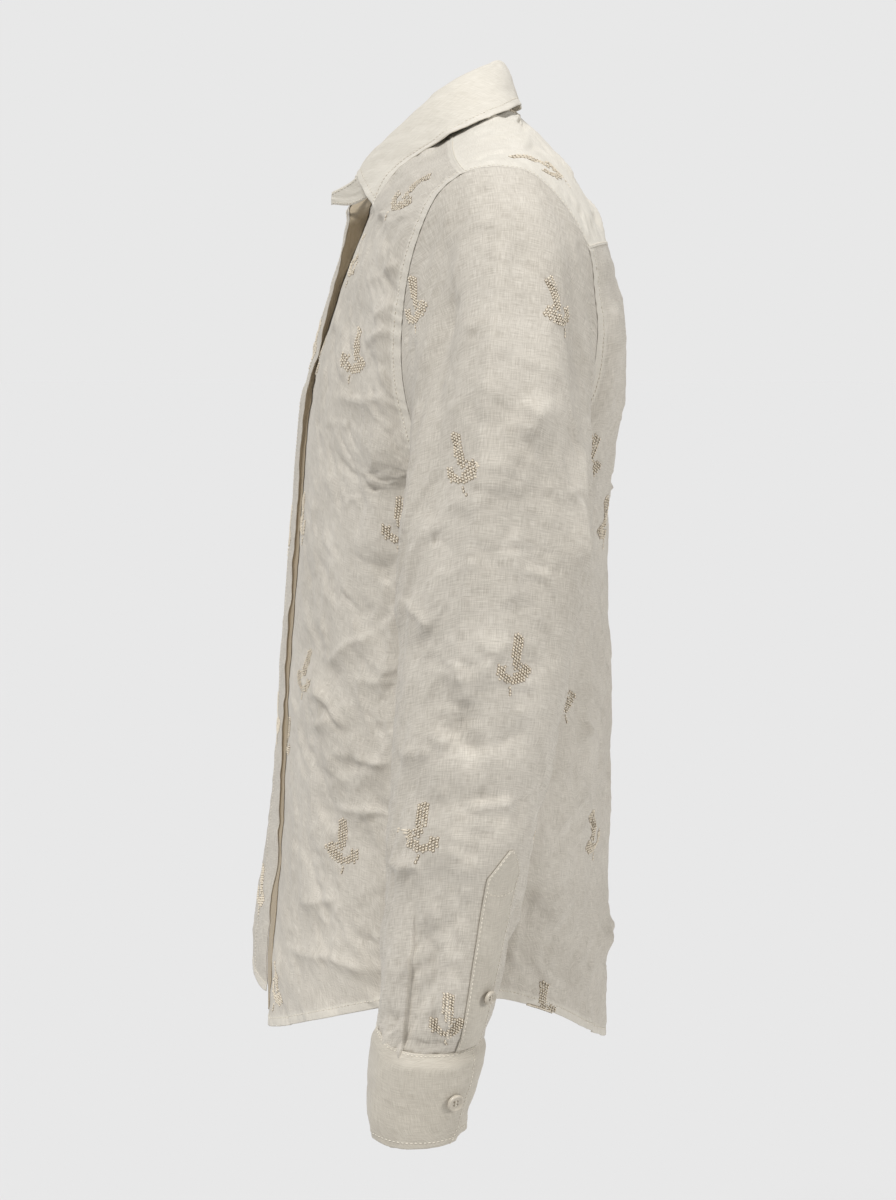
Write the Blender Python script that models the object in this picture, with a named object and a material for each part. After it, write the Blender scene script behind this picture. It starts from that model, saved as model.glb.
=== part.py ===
"""A linen shirt, worn but with no wearer in it: two fronts with a hidden button stand, a back, a
double yoke, a collar on a stand, and long set-in sleeves with stitched plackets and buttoned cuffs.

Metres, +Z up, the wearer faces -Y and their left arm is on +X. The origin is the middle of the neck
loop. Every panel is one closed wall of cloth, a grid of points with a second grid WALL inside it.
"""
import math

import bpy
import numpy as np
from mathutils.bvhtree import BVHTree

for old in list(bpy.data.objects):
    bpy.data.objects.remove(old, do_unlink=True)

# Driving dimensions, in metres.
WALL = 0.0015            # modelled thickness of one panel
SEAM = 0.0004            # gap left where two panels are sewn together
STEP = 12.0              # degrees of the armhole between two rows of the body panels
COLS = 12                # quads across one front, and across half of the back and yoke
SLEEVE_CAP_ROWS = 9      # quads from the armhole down to the first level ring of the sleeve
CUFF_LAP = 0.0021        # how far the button end of a cuff lies inside the other end
PLACKET_LIFT = 0.0010    # how far the sleeve placket stands off the sleeve
CUFF_BUTTON, PLACKET_BUTTON = 0.0056, 0.0045     # radii
BUTTON_THICK = 0.0024
BUTTON_SIDES = 20        # flat sides round a button
BUTTON_SEAT = 0.0009     # how far a button stands off its cloth
CUFF_FROM, CUFF_TURN = 196, 398     # degrees: where the cuff strip starts inside, how far it goes
CUFF_COLUMNS, CUFF_ROWS = 34, 5
CUFF_STEP_FROM, CUFF_STEP = 58, 16  # degrees along the strip where the step to the outer lap lies
PLACKET_TOP, PLACKET_END = 1.458, 1.845      # places along the sleeve
PLACKET_AT, PLACKET_DRIFT = 216, 12          # degrees round the sleeve, at the top, and added below
PLACKET_TIP, PLACKET_HALF = 2, 15            # half widths in degrees: at the point, and added below it
PLACKET_POINT = .09                          # share of its length that the pointed top takes
SEAM_START = SEAM + .0006           # the sleeve starts this far out from the armhole seam
NECK_SEAM = .0012                   # the collar stand starts this far above the neckline
LEAF_CLEAR = .0032                  # the collar leaf stays this far above the shoulder

# The armhole seam of the left side, by angle round it from the armpit: front, shoulder, back.
# turn and drop say which way the body cloth runs there, out_* which way the sleeve cloth leaves.
ARMHOLE = [  # angle, x, y, z, turn, drop, out_x, out_y, out_z, push
    (0,   .1760, .0250, -.2080,  90, 0.0, .70,  .00, -.70, 0.7),
    (24,  .1695, -.0110, -.1960, 76, 0.0, .85,  .25, -.45, 0.7),
    (42,  .1660, -.0235, -.1640, 62, 0.0, .80,  .50, -.35, 0.8),
    (60,  .1650, -.0280, -.1340, 54, .05, .75,  .60, -.30, 0.9),
    (84,  .1675, -.0265, -.0980, 48, .10, .72,  .65, -.30, 1.0),
    (102, .1730, -.0215, -.0690, 42, .15, .74,  .62, -.34, 1.0),
    (120, .1795, -.0125, -.0430, 32, .22, .80,  .45, -.42, 1.0),
    (132, .1835, -.0040, -.0290, 24, .28, .84,  .28, -.48, 1.0),
    (144, .1875, .0090, -.0195,  12, .33, .86,  .12, -.52, 1.0),
    (168, .1902, .0240, -.0158,   2, .36, .86,  .02, -.54, 1.0),
    (180, .1905, .0330, -.0158,   0, .36, .86,  .00, -.54, 1.0),
    (204, .1900, .0510, -.0200,  -4, .36, .86, -.03, -.54, 1.0),
    (228, .1870, .0710, -.0385, -14, .28, .84, -.18, -.50, 1.0),
    (252, .1810, .0865, -.0640, -28, .14, .78, -.42, -.42, 1.0),
    (276, .1740, .0915, -.0900, -42, .06, .74, -.55, -.34, 0.9),
    (300, .1675, .0945, -.1200, -52, 0.0, .74, -.60, -.30, 0.8),
    (318, .1655, .0880, -.1550, -62, 0.0, .78, -.50, -.35, 0.7),
    (339, .1690, .0630, -.1880, -76, 0.0, .82, -.25, -.48, 0.7),
    (360, .1760, .0250, -.2080, -90, 0.0, .70,  .00, -.70, 0.7),
]

# The side seam from the hem up to the armpit. Row -9 is the hem, row 0 the armpit.
SIDE = [  # row, x, y, z
    (-9, .1830, .0180, -.5450),
    (-7, .1800, .0200, -.4650),
    (-5, .1775, .0220, -.3870),
    (-3, .1755, .0240, -.3140),
    (-1, .1755, .0250, -.2430),
    (0,  .1760, .0250, -.2080),
]

# The front edge of each front, from the hem up, then along the neckline to the yoke seam. The left
# front passes beneath the right one. run is the way a row sets off; reach and close are the two
# handle lengths of the row's curve.
FRONT = [  # row, left x, y, z, run_y, right x, y, z, run_y, run_z, reach, close
    (-9,  .035, -.1220, -.6180, -.05, -.015, -.1240, -.6030, -.55, .20, 1.45, 1.00),
    (-8,  .014, -.1190, -.5850, -.05, -.015, -.1230, -.5720, -.50, .13, 1.60, 1.00),
    (-7,  -.001, -.1150, -.5450, -.05, -.015, -.1200, -.5350, -.38, .08, 1.70, 1.00),
    (-6,  -.010, -.1110, -.5000, -.05, -.015, -.1150, -.4950, -.33, .04, 1.75, 1.00),
    (-5,  -.014, -.1075, -.4500, -.05, -.015, -.1120, -.4500, -.26, 0.0, 1.75, 1.00),
    (-3,  -.014, -.1025, -.3550, -.05, -.015, -.1066, -.3550, -.22, 0.0, 1.75, 1.00),
    (-1,  -.014, -.0950, -.2750, -.05, -.015, -.0992, -.2750, -.21, 0.0, 1.70, 1.00),
    (1,   -.014, -.0905, -.2120, -.05, -.015, -.0945, -.2120, -.18, 0.0, 1.60, 0.95),
    (3,   -.014, -.0850, -.1650, -.05, -.015, -.0895, -.1650, -.15, 0.0, 1.50, 0.80),
    (5,   -.014, -.0740, -.1230, -.08, -.015, -.0782, -.1230, -.15, 0.0, 1.40, 0.75),
    (7,   -.014, -.0605, -.0830, -.05, -.015, -.0660, -.0830, -.22, 0.0, 1.35, 0.75),
    (8,   -.014, -.0525, -.0620, -.03, -.015, -.0588, -.0620, -.30, 0.0, 1.30, 0.80),
    (9,   -.014, -.0435, -.0390, 0.00, -.015, -.0530, -.0400, -.40, .02, 1.25, 0.85),
    (10,  .020, -.0395, -.0270, -.05, .020, -.0520, -.0270, -.20, -.05, 1.20, 0.90),
    (11,  .044, -.0220, -.0060, -.08, .044, -.0250, -.0060, -.10, -.18, 1.10, 0.95),
    (12,  .055, .0100, .0170, -.03, .055, .0100, .0170, -.03, -.30, 1.00, 1.00),
]

# The inner end of each yoke row, round the neck and down the middle of the back.
YOKE = [  # row, x, y, z, run_y, run_z
    (12, .0550, .0100, .0170, -.03, -.30),
    (13, .0575, .0260, .0270, .00, -.34),
    (14, .0555, .0380, .0315, .02, -.36),
    (15, .0485, .0470, .0335, .05, -.34),
    (16, .0360, .0530, .0340, .08, -.26),
    (17, .0180, .0560, .0338, .05, -.12),
    (18, .0000, .0570, .0335, .00, .00),
    (19, .0000, .0790, .0120, .00, .00),
    (20, .0000, .0990, -.0220, .00, .00),
    (21, .0000, .1150, -.0615, .00, .00),
]

# The middle of the back, from the yoke seam (row 21) down to the armpit (30) and the hem (39).
BACK = [  # row, y, z, reach
    (21, .1150, -.0615, 1.15),
    (23, .1180, -.0980, 1.30),
    (25, .1210, -.1400, 1.45),
    (27, .1230, -.1820, 1.50),
    (29, .1245, -.2280, 1.60),
    (31, .1270, -.2850, 1.65),
    (33, .1300, -.3600, 1.70),
    (35, .1300, -.4420, 1.70),
    (37, .1285, -.5300, 1.65),
    (38, .1275, -.5850, 1.60),
    (39, .1300, -.6370, 1.55),
]

# Level rings of the left sleeve, from the underarm to the cuff.
RINGS = [  # z, front_y, back_y, inner_x, outer_x, squareness
    (-.2350, -.0282, .0830, .1870, .2680, 2.0),
    (-.2700, -.0308, .0785, .1880, .2680, 2.0),
    (-.3050, -.0324, .0728, .1890, .2670, 2.0),
    (-.3450, -.0336, .0647, .1895, .2670, 2.0),
    (-.3950, -.0377, .0545, .1900, .2670, 2.0),
    (-.4380, -.0410, .0466, .1905, .2665, 2.0),
    (-.4920, -.0444, .0347, .1910, .2655, 2.0),
    (-.5300, -.0450, .0253, .1920, .2630, 2.1),
    (-.5420, -.0462, .0205, .1925, .2605, 2.2),
    (-.5490, -.0477, .0172, .1920, .2590, 2.2),
    (-.5550, -.0477, .0165, .1920, .2580, 2.2),
]
SLEEVE_RING_ROWS = 13

CUFF = [  # z, front_y, back_y, inner_x, outer_x
    (-.5490, -.0500, .0215, .1895, .2645),
    (-.5680, -.0519, .0188, .1890, .2645),
    (-.5930, -.0552, .0108, .1895, .2635),
    (-.6100, -.0562, .0087, .1905, .2625),
]

# The collar stand, from the middle of the back to its front end, left side.
STAND = [  # along, foot_x, foot_y, foot_z, top_x, top_y, top_z
    (0.00, .0000, .0555, .0340, .0000, .0490, .0640),
    (0.16, .0240, .0535, .0345, .0220, .0450, .0635),
    (0.32, .0440, .0460, .0335, .0415, .0320, .0578),
    (0.46, .0545, .0310, .0295, .0520, .0140, .0480),
    (0.60, .0560, .0110, .0185, .0545, -.0055, .0340),
    (0.74, .0475, -.0140, -.0010, .0475, -.0250, .0155),
    (0.86, .0330, -.0375, -.0185, .0335, -.0420, .0005),
    (0.93, .0200, -.0510, -.0290, .0210, -.0530, -.0120),
    (1.00, .0060, -.0700, -.0310, .0080, -.0695, -.0190),
]

# The collar leaf's free edge, from the middle of the back to its point, and where it folds.
LEAF = [  # along, fold_along, edge_x, edge_y, edge_z, roll
    (0.00, 0.00, .0000, .0640, .0370, .0030),
    (0.20, 0.20, .0380, .0600, .0365, .0032),
    (0.40, 0.38, .0700, .0480, .0300, .0036),
    (0.58, 0.55, .0870, .0270, .0200, .0040),
    (0.76, 0.72, .0820, .0010, -.0020, .0040),
    (0.90, 0.85, .0680, -.0220, -.0220, .0038),
    (1.00, 0.92, .0550, -.0400, -.0340, .0035),
]

# Large soft folds: a ridge (or, with a minus height, a hollow) along a line seen from the side.
FOLDS = [  # panel, y0, z0, y1, z1, half_width, height
    ("body", -.052, -.350, .000, -.395, .020, .0040),
    ("body", -.090, -.330, -.048, -.352, .018, -.0030),
    ("body", -.088, -.420, -.066, -.386, .014, .0030),
    ("body", -.100, -.400, -.060, -.445, .018, -.0030),
    ("body", -.045, -.250, -.032, -.110, .012, .0040),
    ("body", -.066, -.200, -.055, -.110, .014, -.0030),
    ("body", -.110, -.560, -.050, -.590, .016, .0035),
    ("body", .095, -.200, .105, -.110, .016, .0030),
    ("body", .100, -.330, .125, -.300, .030, -.0030),
    ("body", .112, -.520, .122, -.590, .018, .0035),
    ("sleeve", -.004, -.100, -.012, -.215, .010, -.0045),
    ("sleeve", .080, -.085, .070, -.225, .012, -.0045),
    ("sleeve", .024, -.060, .016, -.300, .016, .0035),
    ("sleeve", .016, -.300, -.010, -.560, .014, .0035),
    ("sleeve", -.020, -.425, .030, -.420, .018, .0030),
    ("sleeve", -.012, -.385, .034, -.392, .012, -.0035),
    ("sleeve", .046, -.200, .052, -.300, .014, -.0035),
    ("sleeve", -.018, -.300, .006, -.350, .014, -.0030),
]


def read(table, where, closed=False):
    """The columns of a table at one value of its first column, on a smooth curve through the rows."""
    rows = np.array(table, float)
    keys = rows[:, 0]
    spot = int(np.clip(np.searchsorted(keys, where, side="right") - 1, 0, len(keys) - 2))
    before = spot - 1 if spot > 0 else (len(keys) - 2 if closed else spot)
    after = spot + 2 if spot + 2 < len(keys) else (1 if closed else spot + 1)
    k0, k1 = keys[spot], keys[spot + 1]
    kb = keys[before] - (keys[-1] if closed and spot == 0 else 0)
    ka = keys[after] + (keys[-1] if closed and after == 1 and spot > 1 else 0)
    p0, p1, pb, pa = (rows[i, 1:] for i in (spot, spot + 1, before, after))
    s0 = (p1 - pb) / max(k1 - kb, 1e-9)
    s1 = (pa - p0) / max(ka - k0, 1e-9)
    t, wide = (where - k0) / (k1 - k0), k1 - k0
    return curve(p0, s0 * wide, p1, s1 * wide, t)


def curve(start, leave, end, arrive, t):
    """Point at t on the curve that leaves start along one handle and arrives at end along another."""
    start, leave, end, arrive = (np.asarray(v, float) for v in (start, leave, end, arrive))
    return ((2 * t**3 - 3 * t**2 + 1) * start + (t**3 - 2 * t**2 + t) * leave
            + (3 * t**2 - 2 * t**3) * end + (t**3 - t**2) * arrive)


def unit(v):
    """The vector scaled to length one."""
    v = np.asarray(v, float)
    return v / np.maximum(np.linalg.norm(v, axis=-1, keepdims=True), 1e-12)


def normals(grid, closed=False):
    """Direction across a grid at each point; outward where rows run down and columns to the left."""
    down = np.gradient(grid, axis=0)
    if closed:
        across = (np.roll(grid, -1, 1) - np.roll(grid, 1, 1)) / 2
    else:
        across = np.gradient(grid, axis=1)
    return unit(np.cross(down, across))


def add_folds(grid, panel):
    """How far each point goes outward for the ridges and hollows in the table of folds."""
    push = np.zeros(grid.shape[:2])
    side = np.clip((np.abs(grid[..., 0]) - .02) / .05, 0, 1)
    for name, y0, z0, y1, z1, wide, height in FOLDS:
        if name != panel:
            continue
        a, b = np.array((y0, z0)), np.array((y1, z1))
        flat = grid[..., 1:]
        t = np.clip(((flat - a) @ (b - a)) / ((b - a) @ (b - a)), 0, 1)
        gap = np.linalg.norm(flat - (a + t[..., None] * (b - a)), axis=-1)
        push += height * np.exp(-(gap / wide) ** 2) * side
    return push


def wall(name, grid, colour, closed=False, inner=None, split=None):
    """Makes one closed solid from a grid of outer points and the same grid moved inward.

    split: the first row at which the grid's two halves meet; above it there is a gap between them.
    """
    rows, cols = grid.shape[:2]
    if inner is None:
        inner = grid - normals(grid, closed) * WALL
    middle, outer = cols // 2, []

    def at(r, c):
        joined = split is not None and r >= split and c == middle
        return r * cols + (c - 1 if joined else c)

    for r in range(rows - 1):
        for c in range(cols if closed else cols - 1):
            if split is None or c != middle - 1:
                n = (c + 1) % cols
                outer.append((at(r, c), at(r, n), at(r + 1, n), at(r + 1, c)))
    half = rows * cols
    edges = {(f[i], f[(i + 1) % 4]) for f in outer for i in range(4)}
    rims = [(b, a, half + a, half + b) for a, b in sorted(edges) if (b, a) not in edges]
    faces = outer + [tuple(half + i for i in f[::-1]) for f in outer] + rims
    used = sorted({i for f in faces for i in f})
    place = {old: new for new, old in enumerate(used)}
    verts = np.concatenate([grid.reshape(-1, 3), inner.reshape(-1, 3)])[used]
    return solid(name, verts, [tuple(place[i] for i in f) for f in faces], colour)


def solid(name, verts, faces, colour):
    """Adds one object with its own material, faces turned outward."""
    mesh = bpy.data.meshes.new(name)
    mesh.from_pydata([tuple(map(float, v)) for v in verts], [], [tuple(f) for f in faces])
    mesh.validate()
    volume = 0.0
    points = np.asarray(verts, float)
    for f in faces:
        for i in range(1, len(f) - 1):
            volume += points[f[0]] @ np.cross(points[f[i]], points[f[i + 1]]) / 6
    if volume < 0:
        mesh.flip_normals()
    mesh.update()
    material = bpy.data.materials.new(name + "_material")
    material.use_nodes = True
    shader = material.node_tree.nodes["Principled BSDF"]
    shader.inputs["Base Color"].default_value = (*colour, 1.0)
    shader.inputs["Roughness"].default_value = 0.85
    mesh.materials.append(material)
    item = bpy.data.objects.new(name, mesh)
    bpy.context.scene.collection.objects.link(item)
    return item


def mirror(grid):
    """The same grid on the wearer's other side, its columns turned round to keep it facing out."""
    return grid[:, ::-1] * np.array((-1, 1, 1))


def outer_end(row):
    """Where a body row ends at the side seam or armhole, and the way the cloth runs there."""
    if row < 0:
        x, y, z = read(SIDE, row)
        return np.array((x, y, z)), np.array((0.0, 1.0, 0.0))
    if row > 30:
        x, y, z = read(SIDE, 30 - row)
        return np.array((x, y, z)), np.array((0.0, -1.0, 0.0))
    x, y, z, turn, drop = read(ARMHOLE, row * STEP)[:5]
    turn = math.radians(turn)
    return np.array((x, y, z)), unit((math.cos(turn), math.sin(turn), -drop))


def body_row(inner, run, reach, end, way, close):
    """One row of cloth from its inner end to its outer end, as points."""
    gap = end - inner
    leave = unit(run) * reach * max(abs(gap[0]), .05)
    arrive = way * close * (abs(gap[0] * way[0]) + 1.7 * abs(gap[1] * way[1]))
    return np.array([curve(inner, leave, end, arrive, c / COLS) for c in range(COLS + 1)])


def inner_end(row, right):
    """Where a body row starts, the way it runs there, and its two handle lengths."""
    if row <= 12:
        cells = read(FRONT, row)
        edge, run_z = cells[4:8] if right else cells[:4], cells[8] * (.3 if right else 1)
        return edge[:3], (1, edge[3], run_z), cells[9], cells[10]
    if row < 21:
        x, y, z, run_y, run_z = read(YOKE, row)
        return np.array((x, y, z)), (1, run_y, run_z), 1.0 + .03 * max(row - 16, 0), 1.0
    y, z, reach = read(BACK, row)
    return np.array((0, y, z)), (1, 0, 0), reach, 1.0


def body_shell(right):
    """Outer and inner points of half the body as one sheet, from the front hem over the shoulder
    to the back hem, drawn on the left side."""
    rows = []
    for row in range(-9, 40):
        inner, run, reach, close = inner_end(row, right)
        end, way = outer_end(row)
        rows.append(body_row(inner, run, reach, end - way * SEAM / 2, way, close))
    grid = np.array(rows)
    grid = grid - normals(grid) * add_folds(grid, "body")[..., None]
    inward = normals(grid)
    inward[27:, 0, 0] = 0
    return grid, grid + unit(inward) * WALL


def panel(layers, first, last):
    """The rows of one panel, its end rows drawn back by half the seam gap where they meet another."""
    cut = []
    for grid in layers:
        piece = grid[first + 9:last + 10].copy()
        for end, beside in ((0, 1), (-1, -2)):
            row = (first, last)[end]
            if row in (12, 21):
                piece[end] += unit(piece[beside] - piece[end]) * SEAM / 2
        cut.append(piece)
    return cut


def join_halves(left, right, shared=True):
    """Joins a half panel, drawn from the middle out on the left, with the mirrored right half."""
    return np.concatenate([right[:, shared:][:, ::-1] * np.array((-1, 1, 1)), left], axis=1)


def ring_point(cells, angle, shrink=0.0):
    """A point of a level ring: angle 0 faces the body, 90 the front, 180 outward, 270 the back."""
    z, front, back, inner, outer = cells[:5]
    power = cells[5] if len(cells) > 5 else 2.2
    c, s = math.cos(math.radians(angle)), math.sin(math.radians(angle))
    reach = (abs(c) ** power + abs(s) ** power) ** (-1 / power)
    x = (inner + outer) / 2 - c * reach * ((outer - inner) / 2 - shrink)
    y = (front + back) / 2 - s * reach * ((back - front) / 2 - shrink)
    return np.array((x, y, z))


def along_rows(table, count):
    """A table read at evenly spaced places from its first row to its last."""
    keyed = [(i, *row) for i, row in enumerate(table)]
    return [read(keyed, i) for i in np.linspace(0, len(table) - 1, count)]


def sleeve_point(where, angle):
    """A point of the left sleeve: where runs 0 to 1 down the cap, then 1 to 2 down the rings."""
    keyed = [(i / (len(RINGS) - 1), *row) for i, row in enumerate(RINGS)]
    if where >= 1:
        return ring_point(read(keyed, min(where - 1, 1.0)), angle)
    x, y, z, _, _, ox, oy, oz, push = read(ARMHOLE, angle % 360)
    way = unit((ox, oy, oz))
    under = max(0.0, (math.cos(math.radians(angle)) - .3) / .7)
    start = np.array((x, y, z)) + way * SEAM_START + np.array((.0016, 0, -.0004)) * under
    first = ring_point(RINGS[0], angle)
    second = ring_point(RINGS[1], angle)
    span = np.linalg.norm(first - start)
    return curve(start, way * span * push * .9, first, unit(second - first) * span * .9, where)


def sleeve_part(spots, angles, closed):
    """A grid of the left sleeve's points, with its folds, and the outward directions there."""
    grid = np.array([[sleeve_point(w, a % 360) for a in angles] for w in spots])
    push = add_folds(grid, "sleeve")
    fade = np.clip(np.minimum(np.array(spots) / .3, (1.9 - np.array(spots)) / .15), 0, 1)
    outside = np.clip((grid[..., 0] - .195) / .03, 0, 1)
    grid = grid + normals(grid, closed) * (push * fade[:, None] * outside)[..., None]
    return grid, normals(grid, closed)


def sleeve_grid():
    """Points of the left sleeve, one column for each row of the body panels round the armhole."""
    spots = list(np.linspace(0, 1, SLEEVE_CAP_ROWS + 1)) + list(
        1 + np.linspace(0, 1, SLEEVE_RING_ROWS + 1)[1:])
    return sleeve_part(spots, np.arange(0, 360, STEP), True)[0]


def cuff_grid():
    """Points of the left cuff: a strip that starts inside, goes once round and laps over itself."""
    angles = CUFF_FROM + np.linspace(0, CUFF_TURN, CUFF_COLUMNS)
    rows = []
    for cells in along_rows(CUFF, CUFF_ROWS):
        row = []
        for angle in angles:
            inside = CUFF_LAP * np.clip((CUFF_FROM + CUFF_STEP_FROM - angle) / CUFF_STEP, 0, 1)
            row.append(ring_point(cells, angle - 360, inside))
        rows.append(row)
    return np.array(rows)


def placket_grid():
    """Points of the left sleeve's placket: the sleeve's own points moved out, with a pointed top."""
    rows = []
    angles = np.arange(190, 260, 4)
    spots = np.linspace(PLACKET_TOP, PLACKET_END, 14)
    base, out = sleeve_part(spots, angles, False)
    base = base + out * (PLACKET_LIFT + WALL)
    for i, where in enumerate(spots):
        down_it = (where - PLACKET_TOP) / (PLACKET_END - PLACKET_TOP)
        middle = PLACKET_AT + PLACKET_DRIFT * down_it
        half = PLACKET_TIP + PLACKET_HALF * min(down_it / PLACKET_POINT, 1)
        at = [np.interp(middle + c * half, angles, np.arange(len(angles)))
              for c in np.linspace(-1, 1, 5)]
        rows.append([base[i, int(k)] * (1 - k % 1) + base[i, int(k) + 1] * (k % 1) for k in at])
    return np.array(rows)


def neck_point(along, right):
    """A point of the neckline: 0 at the middle of the back, 0.93 at the front end of the seam."""
    return inner_end(float(np.interp(along, (0, .60, .93), (18, 12, 10))), right)[0]


def stand_half(right):
    """Half of the collar stand: it stands on the neckline, and its front end is free."""
    half = []
    for lift in np.linspace(0, 1, 4):
        row = []
        for s in np.linspace(0, 1, 19):
            cells = read(STAND, s)
            foot, top = cells[:3].copy(), cells[3:]
            free = np.clip((s - .80) / .12, 0, 1)
            foot[2] += .0045 * right
            foot = foot * free + (neck_point(s, right) + (0, 0, NECK_SEAM)) * (1 - free)
            round_end = .3 * max(0.0, (s - .93) / .07) ** 2
            row.append(foot + (top - foot) * (lift * (1 - round_end) + .5 * round_end))
        half.append(row)
    return np.array(half)


def ground_under(shell):
    """A lookup for the height of the body cloth's outside at a place seen from above."""
    wide = COLS + 1
    corners = [(r * wide + c, r * wide + c + 1, (r + 1) * wide + c + 1, (r + 1) * wide + c)
               for r in range(30) for c in range(COLS)]
    tree = BVHTree.FromPolygons([tuple(p) for p in shell[:31].reshape(-1, 3)], corners)

    def height(x, y):
        hit = tree.ray_cast((x, y, .2), (0, 0, -1))[0]
        return hit.z if hit else -1.0
    return height


def leaf_half(ground):
    """Points of the left half of the collar leaf, from the fold out over the shoulder."""
    half = []
    for s in np.linspace(0, 1, 18):
        fold_at, ex, ey, ez, roll = read(LEAF, s)
        cells = read(STAND, fold_at)
        foot, top = cells[:3], cells[3:]
        along = read(STAND, min(fold_at + .02, 1))[3:] - read(STAND, max(fold_at - .02, 0))[3:]
        up = unit(top - foot)
        out = unit(np.cross(up, unit(along))) if s else np.array((0.0, 1.0, 0.0))
        start = top + up * (WALL + SEAM + NECK_SEAM)
        edge = np.array((ex, ey, max(ez, ground(ex, ey) + .0035)))
        drop = np.linalg.norm(edge - start)
        column = []
        for fall in np.linspace(0, 1, 8):
            arrive = unit(edge - top - out * roll) * drop * .8
            point = curve(start, out * roll * 6, edge, arrive, fall)
            point[2] = max(point[2], ground(point[0], point[1]) + LEAF_CLEAR)
            column.append(point)
        half.append(column)
    return np.array(half).transpose(1, 0, 2)


def fly_layers(shell):
    """Outer and inner points of the inner button stand, a strip behind the right front's edge."""
    out, inner = shell
    way = unit(inner - out)[1:18, :2]
    strip = out[1:18, :2] + way * (WALL + .0006)
    strip[:, 0] += (strip[:, 1] - strip[:, 0]) * .15
    return strip * (-1, 1, 1), (strip + way * .0011) * (-1, 1, 1)


def button(name, centre, way, radius, thick, colour):
    """A round button with bevelled edges, as one closed solid with no hollow."""
    way = unit(way)
    side = unit(np.cross(way, (0, 0, 1)))
    up = np.cross(side, way)
    rings = [(.82, 0.0), (1.0, .25), (1.0, .75), (.84, 1.0)]
    verts, faces, sides = [], [], BUTTON_SIDES
    for r, h in rings:
        for k in range(sides):
            a = 2 * math.pi * k / sides
            spoke = (side * math.cos(a) + up * math.sin(a)) * r * radius
            verts.append(centre + spoke + way * h * thick)
    for i in range(len(rings) - 1):
        for k in range(sides):
            n = (k + 1) % sides
            faces.append((i * sides + k, i * sides + n, (i + 1) * sides + n, (i + 1) * sides + k))
    faces.append(tuple(range(sides))[::-1])
    faces.append(tuple((len(rings) - 1) * sides + k for k in range(sides)))
    return solid(name, verts, faces, colour)


LINEN = (.60, .575, .52)
CREAM = (.68, .65, .585)
HORN = (.62, .58, .50)

left_shell, right_shell = body_shell(False), body_shell(True)
turned = np.array((-1, 1, 1))
front, lining = panel(left_shell, -9, 12)
wall("front_left", front, LINEN, inner=lining)
front, lining = panel(right_shell, -9, 12)
wall("front_right", front * turned, LINEN, inner=lining * turned)
out, lining = fly_layers(right_shell)
wall("fly_stand", out, LINEN, inner=lining)
for name, first, last, split, colour in (("yoke", 12, 21, 6, CREAM), ("back", 21, 39, None, LINEN)):
    halves = zip(panel(left_shell, first, last), panel(right_shell, first, last))
    out, lining = (join_halves(a, b, split is None) for a, b in halves)
    wall(name, out, colour, inner=lining, split=split)

stand_left, stand_right = stand_half(False), stand_half(True)
wall("collar_stand", join_halves(stand_left, stand_right), CREAM)
leaves = [leaf_half(ground_under(shell[0])) for shell in (left_shell, right_shell)]
wall("collar_leaf", join_halves(*leaves)[::-1], CREAM)

sleeve = sleeve_grid()
cuff = cuff_grid()
placket = placket_grid()
cuff_spot, cuff_way = cuff[2, 31], normals(cuff)[2, 31]
# The placket button sits halfway down the placket, between two rows of its points.
placket_spot, placket_way = placket[6:8, 2].mean(0), normals(placket)[6:8, 2].mean(0)
placket_way = placket_way / np.linalg.norm(placket_way)
for side, turn in (("left", 1), ("right", -1)):
    flip = np.array((turn, 1, 1))
    made = [(n, g if turn > 0 else mirror(g), c) for n, g, c in
            (("sleeve", sleeve, LINEN), ("cuff", cuff, LINEN), ("placket", placket, LINEN))]
    for name, grid, colour in made:
        wall(name + "_" + side, grid, colour, closed=name == "sleeve")
    button("cuff_button_" + side, (cuff_spot + cuff_way * BUTTON_SEAT) * flip, cuff_way * flip,
           CUFF_BUTTON, BUTTON_THICK, HORN)
    button("placket_button_" + side, (placket_spot + placket_way * BUTTON_SEAT) * flip, placket_way * flip,
           PLACKET_BUTTON, BUTTON_THICK, HORN)
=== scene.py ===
"""The linen shirt as it is seen: fine cloth panels with their folds, seams, stitching, buttons and
embroidered sprigs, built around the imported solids.

Metres, +Z up, the wearer faces -Y and their left arm is on +X. Every panel is a grid of points
worked out from tables like those of the solids, at a finer spacing; a few of their rows were set
closer to the photograph.
"""
import math

import bpy
import numpy as np
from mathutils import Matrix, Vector
from mathutils.bvhtree import BVHTree


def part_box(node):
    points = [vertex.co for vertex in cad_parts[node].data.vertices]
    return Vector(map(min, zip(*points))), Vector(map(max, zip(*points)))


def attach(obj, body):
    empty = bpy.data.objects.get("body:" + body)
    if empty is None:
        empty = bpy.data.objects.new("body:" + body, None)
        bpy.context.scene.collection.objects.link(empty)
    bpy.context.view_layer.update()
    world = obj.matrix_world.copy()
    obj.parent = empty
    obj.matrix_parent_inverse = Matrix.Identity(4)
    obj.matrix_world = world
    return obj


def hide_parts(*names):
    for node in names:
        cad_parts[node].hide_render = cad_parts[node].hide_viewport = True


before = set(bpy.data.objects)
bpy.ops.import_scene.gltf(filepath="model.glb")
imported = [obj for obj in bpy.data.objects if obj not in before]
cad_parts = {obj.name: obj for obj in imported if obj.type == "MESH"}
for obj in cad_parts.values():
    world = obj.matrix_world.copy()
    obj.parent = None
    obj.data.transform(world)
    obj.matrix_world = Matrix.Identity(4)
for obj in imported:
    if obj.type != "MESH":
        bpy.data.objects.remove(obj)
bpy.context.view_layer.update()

# Sizes of the cloth, in metres.
RUMPLED = 1.1            # how rumpled the linen is
RUMPLES = [  # size across, size down, height, how far its slope reaches
    (.072, .056, .0018, .0080),
    (.040, .036, .0019, .0040),
    (.022, .019, .0013, .0022),
    (.012, .011, .0005, .0012),
]
LAYER = .0006            # one layer of linen, a little over its real thickness
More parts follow.
